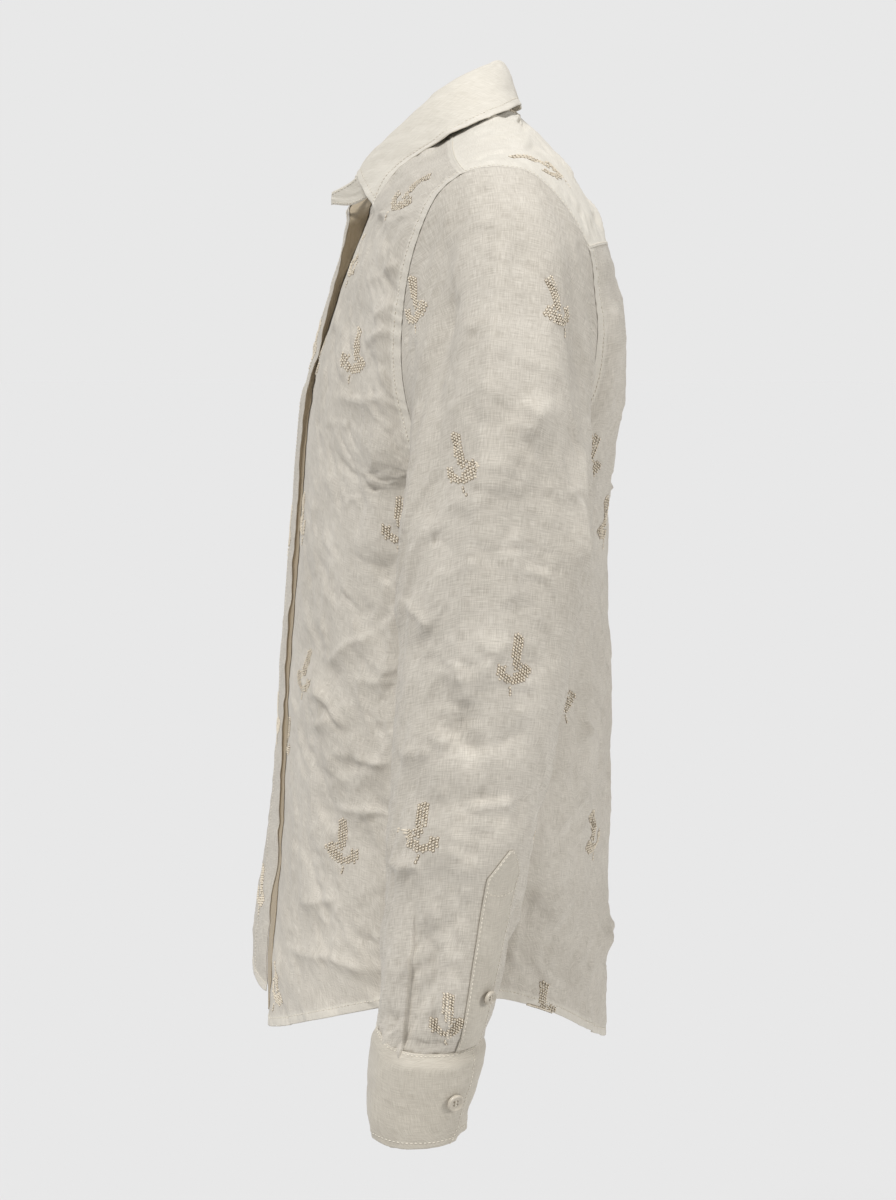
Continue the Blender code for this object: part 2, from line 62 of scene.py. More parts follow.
TWO_LAYERS = .0012       # collar, cuffs and plackets
FINE, COARSE = .0008, .0018      # spacing of the grid beside an edge, and in the middle of a panel
FRONT_GRID, HIDDEN_GRID, BACK_GRID = .0021, .0026, .0031     # wider middles of the large panels
SLEEVE_STEP, PLEAT_STEP = 2.6, .8        # degrees round the sleeve, and where its pleat lies
PLEAT_FROM, PLEAT_TO = 133, 161
STEP = 12.0              # degrees of the armhole between two rows of the body
STITCH, PITCH = .0021, .0028     # length of a stitch, and from one stitch to the next
SEWN_WIDE, SEWN_HIGH, SEWN_LIFT = .00075, .00042, .00002
FALL = .0009             # how far a seam allowance's edge takes to fall away
CUFF_LAP, CUFF_FROM, CUFF_TURN = .0021, 196, 398
CUFF_STEP_FROM, CUFF_STEP = 58, 16       # degrees along the cuff where it steps to its outer lap
PLACKET_TOP, PLACKET_END, PLACKET_AT, PLACKET_DRIFT = 1.458, 1.880, 214, 6
PLACKET_TIP, PLACKET_HALF, PLACKET_POINT = 2, 15, .09

# The armhole seam of the left side, by angle round it from the armpit: front, shoulder, back.
ARMHOLE = [  # angle, x, y, z, turn, drop, out_x, out_y, out_z, push
    (0,   .1760, .0250, -.2080,  90, 0.0, .70,  .00, -.70, 0.7),
    (24,  .1695, -.0110, -.1960, 76, 0.0, .85,  .25, -.45, 0.5),
    (42,  .1660, -.0235, -.1640, 62, 0.0, .82,  .30, -.45, 0.45),
    (60,  .1650, -.0280, -.1340, 54, .05, .80,  .34, -.45, 0.45),
    (84,  .1675, -.0265, -.0980, 48, .10, .78,  .40, -.45, 0.55),
    (102, .1730, -.0215, -.0690, 42, .15, .78,  .42, -.42, 0.7),
    (120, .1795, -.0125, -.0430, 32, .22, .80,  .45, -.42, 1.0),
    (132, .1835, -.0040, -.0290, 24, .28, .84,  .28, -.48, 1.0),
    (144, .1875, .0090, -.0195,  12, .33, .86,  .12, -.52, 1.0),
    (168, .1902, .0240, -.0158,   2, .36, .86,  .02, -.54, 1.0),
    (180, .1905, .0330, -.0158,   0, .36, .86,  .00, -.54, 1.0),
    (204, .1900, .0510, -.0200,  -4, .36, .86, -.03, -.54, 1.0),
    (228, .1870, .0710, -.0385, -14, .28, .84, -.18, -.50, 1.0),
    (252, .1810, .0865, -.0640, -28, .14, .78, -.42, -.42, 1.0),
    (276, .1740, .0915, -.0900, -42, .06, .78, -.38, -.42, 0.6),
    (300, .1675, .0945, -.1200, -52, 0.0, .80, -.36, -.42, 0.5),
    (318, .1655, .0880, -.1550, -62, 0.0, .82, -.30, -.42, 0.5),
    (339, .1690, .0630, -.1880, -76, 0.0, .82, -.25, -.48, 0.7),
    (360, .1760, .0250, -.2080, -90, 0.0, .70,  .00, -.70, 0.7),
]
SIDE = [  # row, x, y, z: the side seam from the hem up to the armpit
    (-9, .1830, .0180, -.5450),
    (-7, .1800, .0200, -.4650),
    (-5, .1775, .0220, -.3870),
    (-3, .1755, .0240, -.3140),
    (-1, .1755, .0250, -.2430),
    (0,  .1760, .0250, -.2080),
]
FRONT = [  # row, left x, y, z, run_y, right x, y, z, run_y, run_z, reach, close: the front edges
    (-9,  .035, -.1220, -.6180, -.05, -.015, -.1240, -.6030, -.55, .20, 1.45, 1.00),
    (-8,  .014, -.1190, -.5850, -.05, -.015, -.1230, -.5720, -.50, .13, 1.60, 1.00),
    (-7,  -.001, -.1150, -.5450, -.05, -.015, -.1200, -.5350, -.38, .08, 1.70, 1.00),
    (-6,  -.010, -.1110, -.5000, -.05, -.015, -.1150, -.4950, -.33, .04, 1.75, 1.00),
    (-5,  -.014, -.1075, -.4500, -.05, -.015, -.1120, -.4500, -.26, 0.0, 1.75, 1.00),
    (-3,  -.014, -.1025, -.3550, -.05, -.015, -.1066, -.3550, -.22, 0.0, 1.75, 1.00),
    (-1,  -.014, -.0950, -.2750, -.05, -.015, -.0992, -.2750, -.21, 0.0, 1.70, 1.00),
    (1,   -.014, -.0905, -.2120, -.05, -.015, -.0945, -.2120, -.18, 0.0, 1.60, 0.95),
    (3,   -.014, -.0850, -.1650, -.05, -.015, -.0895, -.1650, -.15, 0.0, 1.50, 0.80),
    (5,   -.014, -.0740, -.1230, -.08, -.015, -.0782, -.1230, -.15, 0.0, 1.40, 0.75),
    (7,   -.014, -.0605, -.0830, -.05, -.015, -.0685, -.0830, -.10, 0.0, 1.35, 0.75),
    (8,   -.014, -.0525, -.0620, -.03, -.015, -.0628, -.0620, -.06, 0.0, 1.30, 0.80),
    (9,   -.014, -.0435, -.0390, 0.00, -.015, -.0580, -.0400, -.06, .02, 1.25, 0.85),
    (10,  .020, -.0395, -.0270, -.05, .020, -.0545, -.0270, -.10, -.05, 1.20, 0.90),
    (11,  .044, -.0220, -.0060, -.08, .044, -.0250, -.0060, -.10, -.18, 1.10, 0.95),
    (12,  .055, .0100, .0170, -.03, .055, .0100, .0170, -.03, -.30, 1.00, 1.00),
]
YOKE = [  # row, x, y, z, run_y, run_z: round the neck and down the middle of the back
    (12, .0550, .0100, .0170, -.03, -.30),
    (13, .0575, .0260, .0270, .00, -.34),
    (14, .0555, .0380, .0315, .02, -.36),
    (15, .0485, .0470, .0335, .05, -.34),
    (16, .0360, .0530, .0340, .08, -.26),
    (17, .0180, .0560, .0338, .05, -.12),
    (18, .0000, .0570, .0335, .00, .00),
    (19, .0000, .0790, .0120, .00, .00),
    (20, .0000, .0990, -.0220, .00, .00),
    (21, .0000, .1150, -.0615, .00, .00),
]
BACK = [  # row, y, z, reach: the middle of the back, from the yoke seam to the hem
    (21, .1150, -.0615, 1.15),
    (23, .1180, -.0980, 1.30),
    (25, .1210, -.1400, 1.45),
    (27, .1230, -.1820, 1.50),
    (29, .1245, -.2280, 1.60),
    (31, .1270, -.2850, 1.65),
    (33, .1300, -.3600, 1.70),
    (35, .1300, -.4420, 1.70),
    (37, .1285, -.5300, 1.65),
    (38, .1275, -.5850, 1.60),
    (39, .1300, -.6370, 1.55),
]
RINGS = [  # z, front_y, back_y, inner_x, outer_x, squareness: level rings of the left sleeve
    (-.2350, -.0282, .0830, .1870, .2680, 2.0),
    (-.2700, -.0308, .0785, .1880, .2680, 2.0),
    (-.3050, -.0324, .0728, .1890, .2670, 2.0),
    (-.3450, -.0336, .0647, .1895, .2670, 2.0),
    (-.3950, -.0377, .0545, .1900, .2670, 2.0),
    (-.4380, -.0410, .0466, .1905, .2665, 2.0),
    (-.4920, -.0444, .0347, .1910, .2655, 2.0),
    (-.5300, -.0450, .0253, .1920, .2630, 2.1),
    (-.5420, -.0462, .0205, .1925, .2605, 2.2),
    (-.5490, -.0477, .0172, .1920, .2590, 2.2),
    (-.5550, -.0477, .0165, .1920, .2580, 2.2),
]
CUFF = [  # z, front_y, back_y, inner_x, outer_x, squareness
    (-.5490, -.0500, .0215, .1895, .2645, 2.2),
    (-.5680, -.0519, .0188, .1890, .2645, 2.2),
    (-.5930, -.0552, .0108, .1895, .2635, 2.2),
    (-.6100, -.0562, .0087, .1905, .2625, 2.2),
]
STAND = [  # along, foot_x, foot_y, foot_z, top_x, top_y, top_z: the collar stand's left half
    (0.00, .0000, .0555, .0340, .0000, .0490, .0640),
    (0.16, .0240, .0535, .0345, .0220, .0450, .0635),
    (0.32, .0440, .0460, .0335, .0415, .0320, .0578),
    (0.46, .0545, .0310, .0295, .0520, .0140, .0480),
    (0.60, .0560, .0110, .0185, .0545, -.0055, .0340),
    (0.74, .0475, -.0140, -.0010, .0475, -.0250, .0155),
    (0.86, .0330, -.0375, -.0185, .0335, -.0420, .0005),
    (0.93, .0200, -.0510, -.0290, .0210, -.0530, -.0120),
    (1.00, .0060, -.0700, -.0310, .0080, -.0695, -.0190),
]
LEAF = [  # along, fold_along, edge_x, edge_y, edge_z, roll: the collar leaf's free edge
    (0.00, 0.00, .0000, .0640, .0370, .0030),
    (0.20, 0.20, .0380, .0600, .0365, .0032),
    (0.40, 0.38, .0700, .0480, .0300, .0036),
    (0.58, 0.55, .0870, .0270, .0200, .0040),
    (0.76, 0.72, .0820, .0010, -.0040, .0040),
    (0.90, 0.85, .0690, -.0225, -.0285, .0038),
    (1.00, 0.92, .0590, -.0425, -.0425, .0035),
]
FOLDS = [  # panel, y0, z0, y1, z1, half_width, height: large soft folds, seen from the side
    ("body", -.052, -.350, .000, -.395, .020, .0040),
    ("body", -.090, -.330, -.048, -.352, .018, -.0030),
    ("body", -.088, -.420, -.066, -.386, .014, .0030),
    ("body", -.100, -.400, -.060, -.445, .018, -.0030),
    ("body", -.045, -.250, -.032, -.110, .012, .0040),
    ("body", -.066, -.200, -.055, -.110, .014, -.0030),
    ("body", -.110, -.560, -.050, -.590, .016, .0035),
    ("body", .095, -.200, .105, -.110, .016, .0030),
    ("body", .100, -.330, .125, -.300, .030, -.0030),
    ("body", .112, -.520, .122, -.590, .018, .0035),
    ("sleeve", -.004, -.100, -.012, -.215, .010, -.0045),
    ("sleeve", .080, -.085, .070, -.225, .012, -.0045),
    ("sleeve", .024, -.060, .016, -.300, .016, .0035),
    ("sleeve", .016, -.300, -.010, -.560, .014, .0035),
    ("sleeve", -.020, -.425, .030, -.420, .018, .0030),
    ("sleeve", -.012, -.385, .034, -.392, .012, -.0035),
    ("sleeve", .046, -.200, .052, -.300, .014, -.0035),
    ("sleeve", -.018, -.300, .006, -.350, .014, -.0030),
]
# Small creases: which panel, height, width, lean to one side, and the line, as places seen from
# the side (y, z). A minus height is a tuck.
CREASES = [
    ("body", .0017, .0025, .3, [(-.0437, -.1075), (-.0300, -.0950)]),
    ("body", .0015, .0022, -.3, [(-.0520, -.1230), (-.0310, -.1120)]),
    ("body", .0014, .0025, .2, [(-.0480, -.0850), (-.0280, -.0720)]),
    ("body", .0016, .0029, .4, [(-.0723, -.1575), (-.0520, -.1590), (-.0339, -.1537)]),
    ("body", .0022, .0034, .4, [(-.0811, -.3390), (-.0611, -.3182), (-.0432, -.3073)]),
    ("body", .0025, .0034, -.4, [(-.0881, -.3510), (-.0747, -.3618), (-.0618, -.3767)]),
    ("body", .0018, .0025, .4, [(-.0850, -.3825), (-.0715, -.3701)]),
    ("body", .0019, .0029, -.3, [(-.0606, -.3933), (-.0351, -.3937)]),
    ("body", .0017, .0034, .3, [(-.0755, -.4318), (-.0397, -.4254)]),
    ("body", .0022, .0042, .4, [(-.1097, -.5459), (-.0766, -.5318), (-.0438, -.5326)]),
    ("body", .0015, .0029, -.3, [(-.0990, -.5100), (-.0700, -.4900)]),
    ("body", .0022, .0029, .3, [(.0873, -.3865), (.0998, -.3773)]),
    ("body", .0020, .0034, .4, [(.1168, -.5306), (.1060, -.5587)]),
    ("body", .0023, .0038, -.4, [(.0540, -.4760), (.0770, -.5072)]),
    ("body", .0018, .0034, .3, [(.0700, -.4400), (.0980, -.4200)]),
    ("sleeve", .0032, .0110, .30, [(.0335, -.018), (.0254, -.0927), (.0175, -.1471),
                                  (.0134, -.1984), (.0073, -.2459), (-.0021, -.3204),
                                  (-.0076, -.3532), (-.0129, -.3920), (-.0184, -.4240)]),
    ("sleeve", -.0020, .0035, .2, [(-.0178, -.4554), (-.0184, -.4736), (-.0132, -.4828),
                                   (-.0124, -.5480)]),
    ("sleeve", .0020, .0025, .4, [(-.0395, -.4335), (-.0190, -.4278)]),
    ("sleeve", .0017, .0022, .3, [(-.0067, -.4672), (-.0062, -.5480)]),
    ("sleeve", .0018, .0025, .4, [(-.0342, -.3655), (-.0120, -.3566)]),
    ("sleeve", .0025, .0038, .4, [(.0012, -.3923), (.0192, -.3895), (.0381, -.3912)]),
    ("sleeve", .0020, .0029, .3, [(.0791, -.1777), (.0769, -.2603)]),
    ("sleeve", .0013, .0025, .3, [(.0359, -.1518), (.0538, -.1693)]),
    ("sleeve", .0013, .0022, -.3, [(.0539, -.1521), (.0357, -.1745)]),
    ("sleeve", .0014, .0025, .3, [(.0449, -.1462), (.0460, -.1921)]),
    ("sleeve", .0015, .0029, .4, [(-.0300, -.2700), (-.0120, -.2860)]),
    ("sleeve", .0016, .0034, -.4, [(.0180, -.4400), (.0400, -.4150)]),
]
# The pleat above the cuff: z, y.
PLEAT = [(-.455, -.0255), (-.4652, -.0263), (-.4853, -.0272), (-.5040, -.0291), (-.5237, -.0309),
         (-.5480, -.0328)]
# The sprigs that face the camera: panel, y, z, turn in degrees, and 1 or -1 for its mirror image.
SPRIGS = [
    ("sleeve_left", -.0200, -.0950, 12, 1), ("sleeve_left", .0593, -.0967, 14, -1),
    ("sleeve_left", .0016, -.1853, 8, 1), ("sleeve_left", .0340, -.3033, -14, 1),
    ("sleeve_left", -.0228, -.4065, 2, -1), ("sleeve_left", -.0060, -.5216, -8, 1),
    ("front_left", -.0548, -.1281, -16, 1), ("front_left", -.0290, -.2333, -8, 1),
    ("front_left", -.0921, -.2436, 10, -1), ("front_left", -.0916, -.3488, 0, -1),
    ("front_left", -.0671, -.4529, 10, -1), ("front_left", -.1145, -.5750, -10, 1),
    ("front_left", -.0214, -.0285, -30, 1), ("yoke", .0596, -.0101, 35, 1),
    ("back", .0941, -.1954, -10, 1), ("back", .1130, -.2400, 10, -1),
    ("back", .0792, -.3494, -6, 1), ("back", .1052, -.4553, 12, -1),
    ("back", .0645, -.5568, -12, 1),
]
# Half-drop rows of sprigs over the rest of the cloth: across, down, and how far apart they keep.
SPRIG_ACROSS, SPRIG_DOWN, SPRIG_APART = .098, .130, .072
SPRIG_EDGE = .012        # a sprig's middle stays this far inside the edge of an open panel


def curve(start, leave, end, arrive, t):
    """Cubic from start to end that leaves along one handle and arrives along the other."""
    return ((2 * t**3 - 3 * t**2 + 1) * start + (t**3 - 2 * t**2 + t) * leave
            + (3 * t**2 - 2 * t**3) * end + (t**3 - t**2) * arrive)


def read(table, where):
    """The columns of a table at many values of its first column: a cubic between each two rows,
    whose slope at a row is the rise from the row before to the row after."""
    rows = np.asarray(table, float)
    keys, cells, last = rows[:, 0], rows[:, 1:], len(rows) - 1
    after = np.minimum(np.arange(last + 1) + 1, last)
    before = np.maximum(np.arange(last + 1) - 1, 0)
    slope = (cells[after] - cells[before]) / (keys[after] - keys[before])[:, None]
    where = np.asarray(where, float)
    spot = np.clip(np.searchsorted(keys, where, side="right") - 1, 0, last - 1)
    wide = (keys[spot + 1] - keys[spot])[..., None]
    t = (where - keys[spot])[..., None] / wide
    return curve(cells[spot], slope[spot] * wide, cells[spot + 1], slope[spot + 1] * wide, t)


def unit(v):
    """The vectors scaled to length one."""
    return v / np.maximum(np.linalg.norm(v, axis=-1, keepdims=True), 1e-12)


def smooth(t):
    """0 below 0, 1 above 1, and three t squared less two t cubed between."""
    t = np.clip(t, 0, 1)
    return t * t * (3 - 2 * t)


def normals(grid, closed=False):
    """The way across a grid at each point: the step down crossed with the step along the row."""
    down = np.gradient(grid, axis=0)
    if closed:
        along = (np.roll(grid, -1, 1) - np.roll(grid, 1, 1)) / 2
    else:
        along = np.gradient(grid, axis=1)
    return unit(np.cross(down, along))


def spaced(length, edge=FINE, middle=COARSE, near=.012):
    """Places from 0 to 1 along a length: close together beside both ends, wider in the middle."""
    x = np.linspace(0, length, 4000)
    gap = edge + (middle - edge) * smooth(np.minimum(x, length - x) / near)
    count = np.concatenate([[0], np.cumsum((x[1] - x[0]) / gap[1:])])
    return np.interp(np.linspace(0, count[-1], int(count[-1]) + 2), count, x) / length


def bumps(a, b, seed, around=89):
    """Gradient noise: a random slope at each whole a and b, blended by a fifth-power step. It
    repeats after `around` cells of a."""
    turn = np.random.default_rng(seed).uniform(0, 2 * np.pi, (89, 89))
    i, j = np.floor(a).astype(int), np.floor(b).astype(int)
    f, g = a - i, b - j

    def corner(di, dj):
        way = turn[(i + di) % around, (j + dj) % 89]
        return np.cos(way) * (f - di) + np.sin(way) * (g - dj)

    s, t = (x**3 * (x * (x * 6 - 15) + 10) for x in (f, g))
    return 1.5 * ((corner(0, 0) * (1 - s) + corner(1, 0) * s) * (1 - t)
                  + (corner(0, 1) * (1 - s) + corner(1, 1) * s) * t)


def facets(a, b, seed, around=89):
    """How far each place is from the border between two cells of scattered points: the distance
    to the second nearest point less the distance to the nearest, 0 on the border."""
    jitter = np.random.default_rng(seed).uniform(0, 1, (89, 89, 2))
    i, j = np.floor(a).astype(int), np.floor(b).astype(int)
    first, second = np.full(a.shape, 9.0), np.full(a.shape, 9.0)
    for di in (-1, 0, 1):
        for dj in (-1, 0, 1):
            spot = jitter[(i + di) % around, (j + dj) % 89]
            gap = np.hypot(i + di + spot[..., 0] - a, j + dj + spot[..., 1] - b)
            second = np.minimum(second, np.maximum(first, gap))
            first = np.minimum(first, gap)
    return second - first


def rumple(across, down, seed, girth=None):
    """Height of the rumples of worn linen: soft swells, then creases along the borders of
    scattered cells of four sizes, each crease a ridge beside a dip that fades in and out."""
    def cells_of(size):
        """Cell coordinates along the cloth, whole in number round a closed sleeve."""
        count = 89 if girth is None else max(3, round(girth / size))
        return (across / size if girth is None else across / girth * count), count

    a, count = cells_of(.075)
    total = .0016 * bumps(a, down / .11, seed, count)
    bend, bend_count = cells_of(.045)
    drift = bumps(bend, down / .05, seed + 50, bend_count) * .010
    for step, (size, tall, high, wide) in enumerate(RUMPLES):
        a, count = cells_of(size)
        b = (down + drift) / tall
        gap = facets(a, b, seed + step, count) * min(size, tall) / 2
        where, where_count = cells_of(size * 1.4)
        shown = smooth(.40 + 1.6 * bumps(where, down / tall / 1.4, seed + 20 + step, where_count))
        side = np.tanh(7 * bumps(a, b, seed + 70 + step, count))
        total += RUMPLED * high * shown * side * np.exp((.0005 - np.hypot(gap, .0005)) / wide)
    return total


def folds(grid, panel):
    """How far each point goes outward for the large folds: a bell curve across each fold line."""
    push, flat = np.zeros(grid.shape[:2]), grid[..., 1:]
    for name, y0, z0, y1, z1, wide, height in FOLDS:
        if name == panel:
            a, b = np.array((y0, z0)), np.array((y1, z1))
            t = np.clip(((flat - a) @ (b - a)) / ((b - a) @ (b - a)), 0, 1)
            gap = np.linalg.norm(flat - (a + t[..., None] * (b - a)), axis=-1)
            push += height * np.exp(-(gap / wide) ** 2)
    return push


def creases(grid, panel):
    """The same for the small creases: a sharp ridge that falls off on both sides, faster on one
    by its lean, and dies away towards both ends of the line."""
    push, flat = np.zeros(grid.shape[:2]), grid[..., 1:]
    for name, height, wide, lean, line in CREASES:
        if name != panel:
            continue
        line = np.array(line)
        lengths = np.linalg.norm(np.diff(line, axis=0), axis=1)
        total, done = lengths.sum(), 0.0
        best, place, side = np.full(flat.shape[:2], 9.0), np.zeros(flat.shape[:2]), 1.0
        for a, b, length in zip(line[:-1], line[1:], lengths):
            t = np.clip(((flat - a) @ (b - a)) / length**2, 0, 1)
            away = flat - (a + t[..., None] * (b - a))
            gap = np.linalg.norm(away, axis=-1)
            turn = np.sign(away[..., 0] * (b - a)[1] - away[..., 1] * (b - a)[0])
            closer = gap < best
            best = np.where(closer, gap, best)
            place = np.where(closer, done + t * length, place)
            side = np.where(closer, turn, side)
            done += length
        ends = smooth(np.minimum(place, total - place) / (.3 * total) + .12)
        away = np.hypot(best, .0005) - .0005
        near_side = .8 * wide * (1 + lean * side)
        push += 1.15 * height * ends * (np.exp(-away / near_side) + np.exp(-away / near_side / 4))
    return push


# The shapes of the panels

def body_grid(row, across, right):
    """Points of half the body, drawn on the left: each row is one cubic from the front edge, the
    neck or the middle of the back out to the side seam or the armhole."""
    row = np.asarray(row, float)
    front, yoke, back = (read(t, np.clip(row, t[0][0], t[-1][0])) for t in (FRONT, YOKE, BACK))
    edge, one, none = front[:, 4:8] if right else front[:, :4], np.ones(len(row)), 0 * row
    starts = [
        [edge[:, 0], edge[:, 1], edge[:, 2], one, edge[:, 3], front[:, 8] * (.3 if right else 1),
         front[:, 9], front[:, 10]],
        [yoke[:, 0], yoke[:, 1], yoke[:, 2], one, yoke[:, 3], yoke[:, 4],
         1 + .03 * np.maximum(row - 16, 0), one],
        [none, back[:, 0], back[:, 1], one, none, none, back[:, 2], one],
    ]
    zone = np.where(row <= 12, 0, np.where(row < 21, 1, 2))
    cells = np.take_along_axis(np.array(starts), zone[None, None, :], 0)[0].T
    arm = read(ARMHOLE, np.clip(row, 0, 30) * STEP)
    seam = read(SIDE, np.clip(np.where(row < 0, row, 30 - row), -9, 0))
    turn = np.radians(arm[:, 3])
    way = np.where(row < 0, 1.0, -1.0)[:, None] * np.array((0, 1.0, 0))
    in_arm = ((row >= 0) & (row <= 30))[:, None]
    end = np.where(in_arm, arm[:, :3], seam)
    way = np.where(in_arm, unit(np.column_stack([np.cos(turn), np.sin(turn), -arm[:, 4]])), way)
    gap = end - cells[:, :3]
    leave = unit(cells[:, 3:6]) * (cells[:, 6] * np.maximum(np.abs(gap[:, 0]), .05))[:, None]
    arrive = way * (cells[:, 7] * (np.abs(gap[:, 0] * way[:, 0])
                                   + 1.7 * np.abs(gap[:, 1] * way[:, 1])))[:, None]
    parts = (x[:, None] for x in (cells[:, :3], leave, end, arrive))
    return curve(*parts, across[None, :, None])


def body_rows(first, last, right, middle=COARSE):
    """Row numbers from first to last at the cloth's own spacing, measured down its middle."""
    rows = np.linspace(first, last, 400)
    line = body_grid(rows, np.array([.45]), right)[:, 0]
    run = np.concatenate([[0], np.cumsum(np.linalg.norm(np.diff(line, axis=0), axis=1))])
    return np.interp(spaced(run[-1], middle=middle) * run[-1], run, rows)


def ring_point(cells, angle, shrink=0.0):
    """A point of a level ring, a rounded box: angle 0 faces the body, 90 the front, 180 outward."""
    z, front, back, inner, outer, power = np.moveaxis(cells, -1, 0)
    c, s = np.cos(np.radians(angle)), np.sin(np.radians(angle))
    reach = (np.abs(c) ** power + np.abs(s) ** power) ** (-1 / power)
    x = (inner + outer) / 2 - c * reach * ((outer - inner) / 2 - shrink)
    y = (front + back) / 2 - s * reach * ((back - front) / 2 - shrink)
    return np.stack(np.broadcast_arrays(x, y, z), -1)


def ring_cells(table, where):
    """A table of rings read at places from 0, its first ring, to 1, its last."""
    keyed = np.column_stack([np.linspace(0, 1, len(table)), np.array(table)])
    return read(keyed, np.clip(where, 0, 1))


def sleeve_grid(where, angle):
    """Points of the left sleeve on arrays of the same shape: where runs 0 to 1 down the cap, a
    cubic from the armhole to the first ring, then 1 to 2 down the rings."""
    arm = read(ARMHOLE, angle % 360)
    way = unit(arm[..., 5:8])
    under = np.maximum(0, (np.cos(np.radians(angle)) - .3) / .7)[..., None]
    start = arm[..., :3] + way * .0004 + np.array((.0016, 0, -.0004)) * under
    first = ring_point(np.array(RINGS[0]), angle)
    second = ring_point(np.array(RINGS[1]), angle)
    span = np.linalg.norm(first - start, axis=-1, keepdims=True)
    cap = curve(start, way * span * arm[..., 8:9] * .9, first, unit(second - first) * span * .9,
                np.clip(where, 0, 1)[..., None])
    return np.where((where < 1)[..., None], cap, ring_point(ring_cells(RINGS, where - 1), angle))


def placket_middle(where):
    """Angle round the sleeve of the placket's middle at a place down the sleeve."""
    return PLACKET_AT + PLACKET_DRIFT * np.clip((where - PLACKET_TOP) / (PLACKET_END - PLACKET_TOP), 0, 1)


def pleat(grid):
    """A pleat that opens towards the cuff: the cloth in front of its line stands up to a sharp
    edge, and the cloth behind it dips under that edge."""
    line = np.interp(-grid[..., 2], *zip(*((-z, y) for z, y in PLEAT)))
    away = grid[..., 1] - line
    behind = smooth(away / .0007 + .5)
    fade = smooth((PLEAT[0][0] - grid[..., 2]) / .035) * (grid[..., 0] > .21)
    return fade * ((1 - behind) * .0032 * np.exp(np.minimum(away, 0) / .012)
                   - behind * .0016 * np.exp(-np.maximum(away, 0) / .0035))


def sleeve_push(grid, where, angle, seed):
    """The sleeve's grid with its folds, creases and rumples pushed out; it lies calm under the
    placket, and close to the cuff in front."""
    out = normals(grid, True)
    fade = np.clip(np.minimum(where / .3, (1.9 - where) / .15), 0, 1)
    outside = np.clip((grid[..., 0] - .195) / .03, 0, 1)
    beside = np.abs(angle - placket_middle(where))
    calm = 1 - .9 * smooth((32 - beside) / 9) * smooth((where - PLACKET_TOP + .04) / .05)
    push = folds(grid, "sleeve") * fade * outside
    push += creases(grid, "sleeve") * np.clip(where / .1, 0, 1) * outside * calm
    across, down = measures(grid)
    girth = across[:, -1].mean() + COARSE
    bulk = rumple(across / across[:, -1:] * girth, down, seed, girth)
    push += bulk * smooth(where / .12) * smooth((2.0 - where) / .06) * calm
    push += pleat(grid) * smooth((2.0 - where) / .03)
    front = np.exp(-((angle - 100) / 42) ** 2)
    puff = np.sin(across / across[:, -1:] * 2 * np.pi * 15 + 2 * bumps(down / .1, down, 5))
    full = smooth((where - 1.82) / .18) * smooth((2.0 - where) / .03) * (1 - .9 * front)
    push += .0005 * puff * full * calm
    push += .0014 * smooth((where - 1.78) / .10) * smooth((1.985 - where) / .06) * (1 - 1.4 * front)
    return grid + out * push[..., None]


def measures(grid):
    """Metres along each row from its first column, and down each column from its first row."""
    across, down = np.zeros(grid.shape[:2]), np.zeros(grid.shape[:2])
    across[:, 1:] = np.cumsum(np.linalg.norm(np.diff(grid, axis=1), axis=-1), axis=1)
    down[1:] = np.cumsum(np.linalg.norm(np.diff(grid, axis=0), axis=-1), axis=0)
    return across, down


def refined(grid, rows, cols):
    """A small grid of points on a smooth curve through its rows and columns, at places 0 to 1."""
    for places in (rows, cols):
        count = len(grid)
        keyed = np.column_stack([np.linspace(0, 1, count), grid.reshape(count, -1)])
        grid = read(keyed, places).reshape(len(places), -1, 3).transpose(1, 0, 2)
    return grid


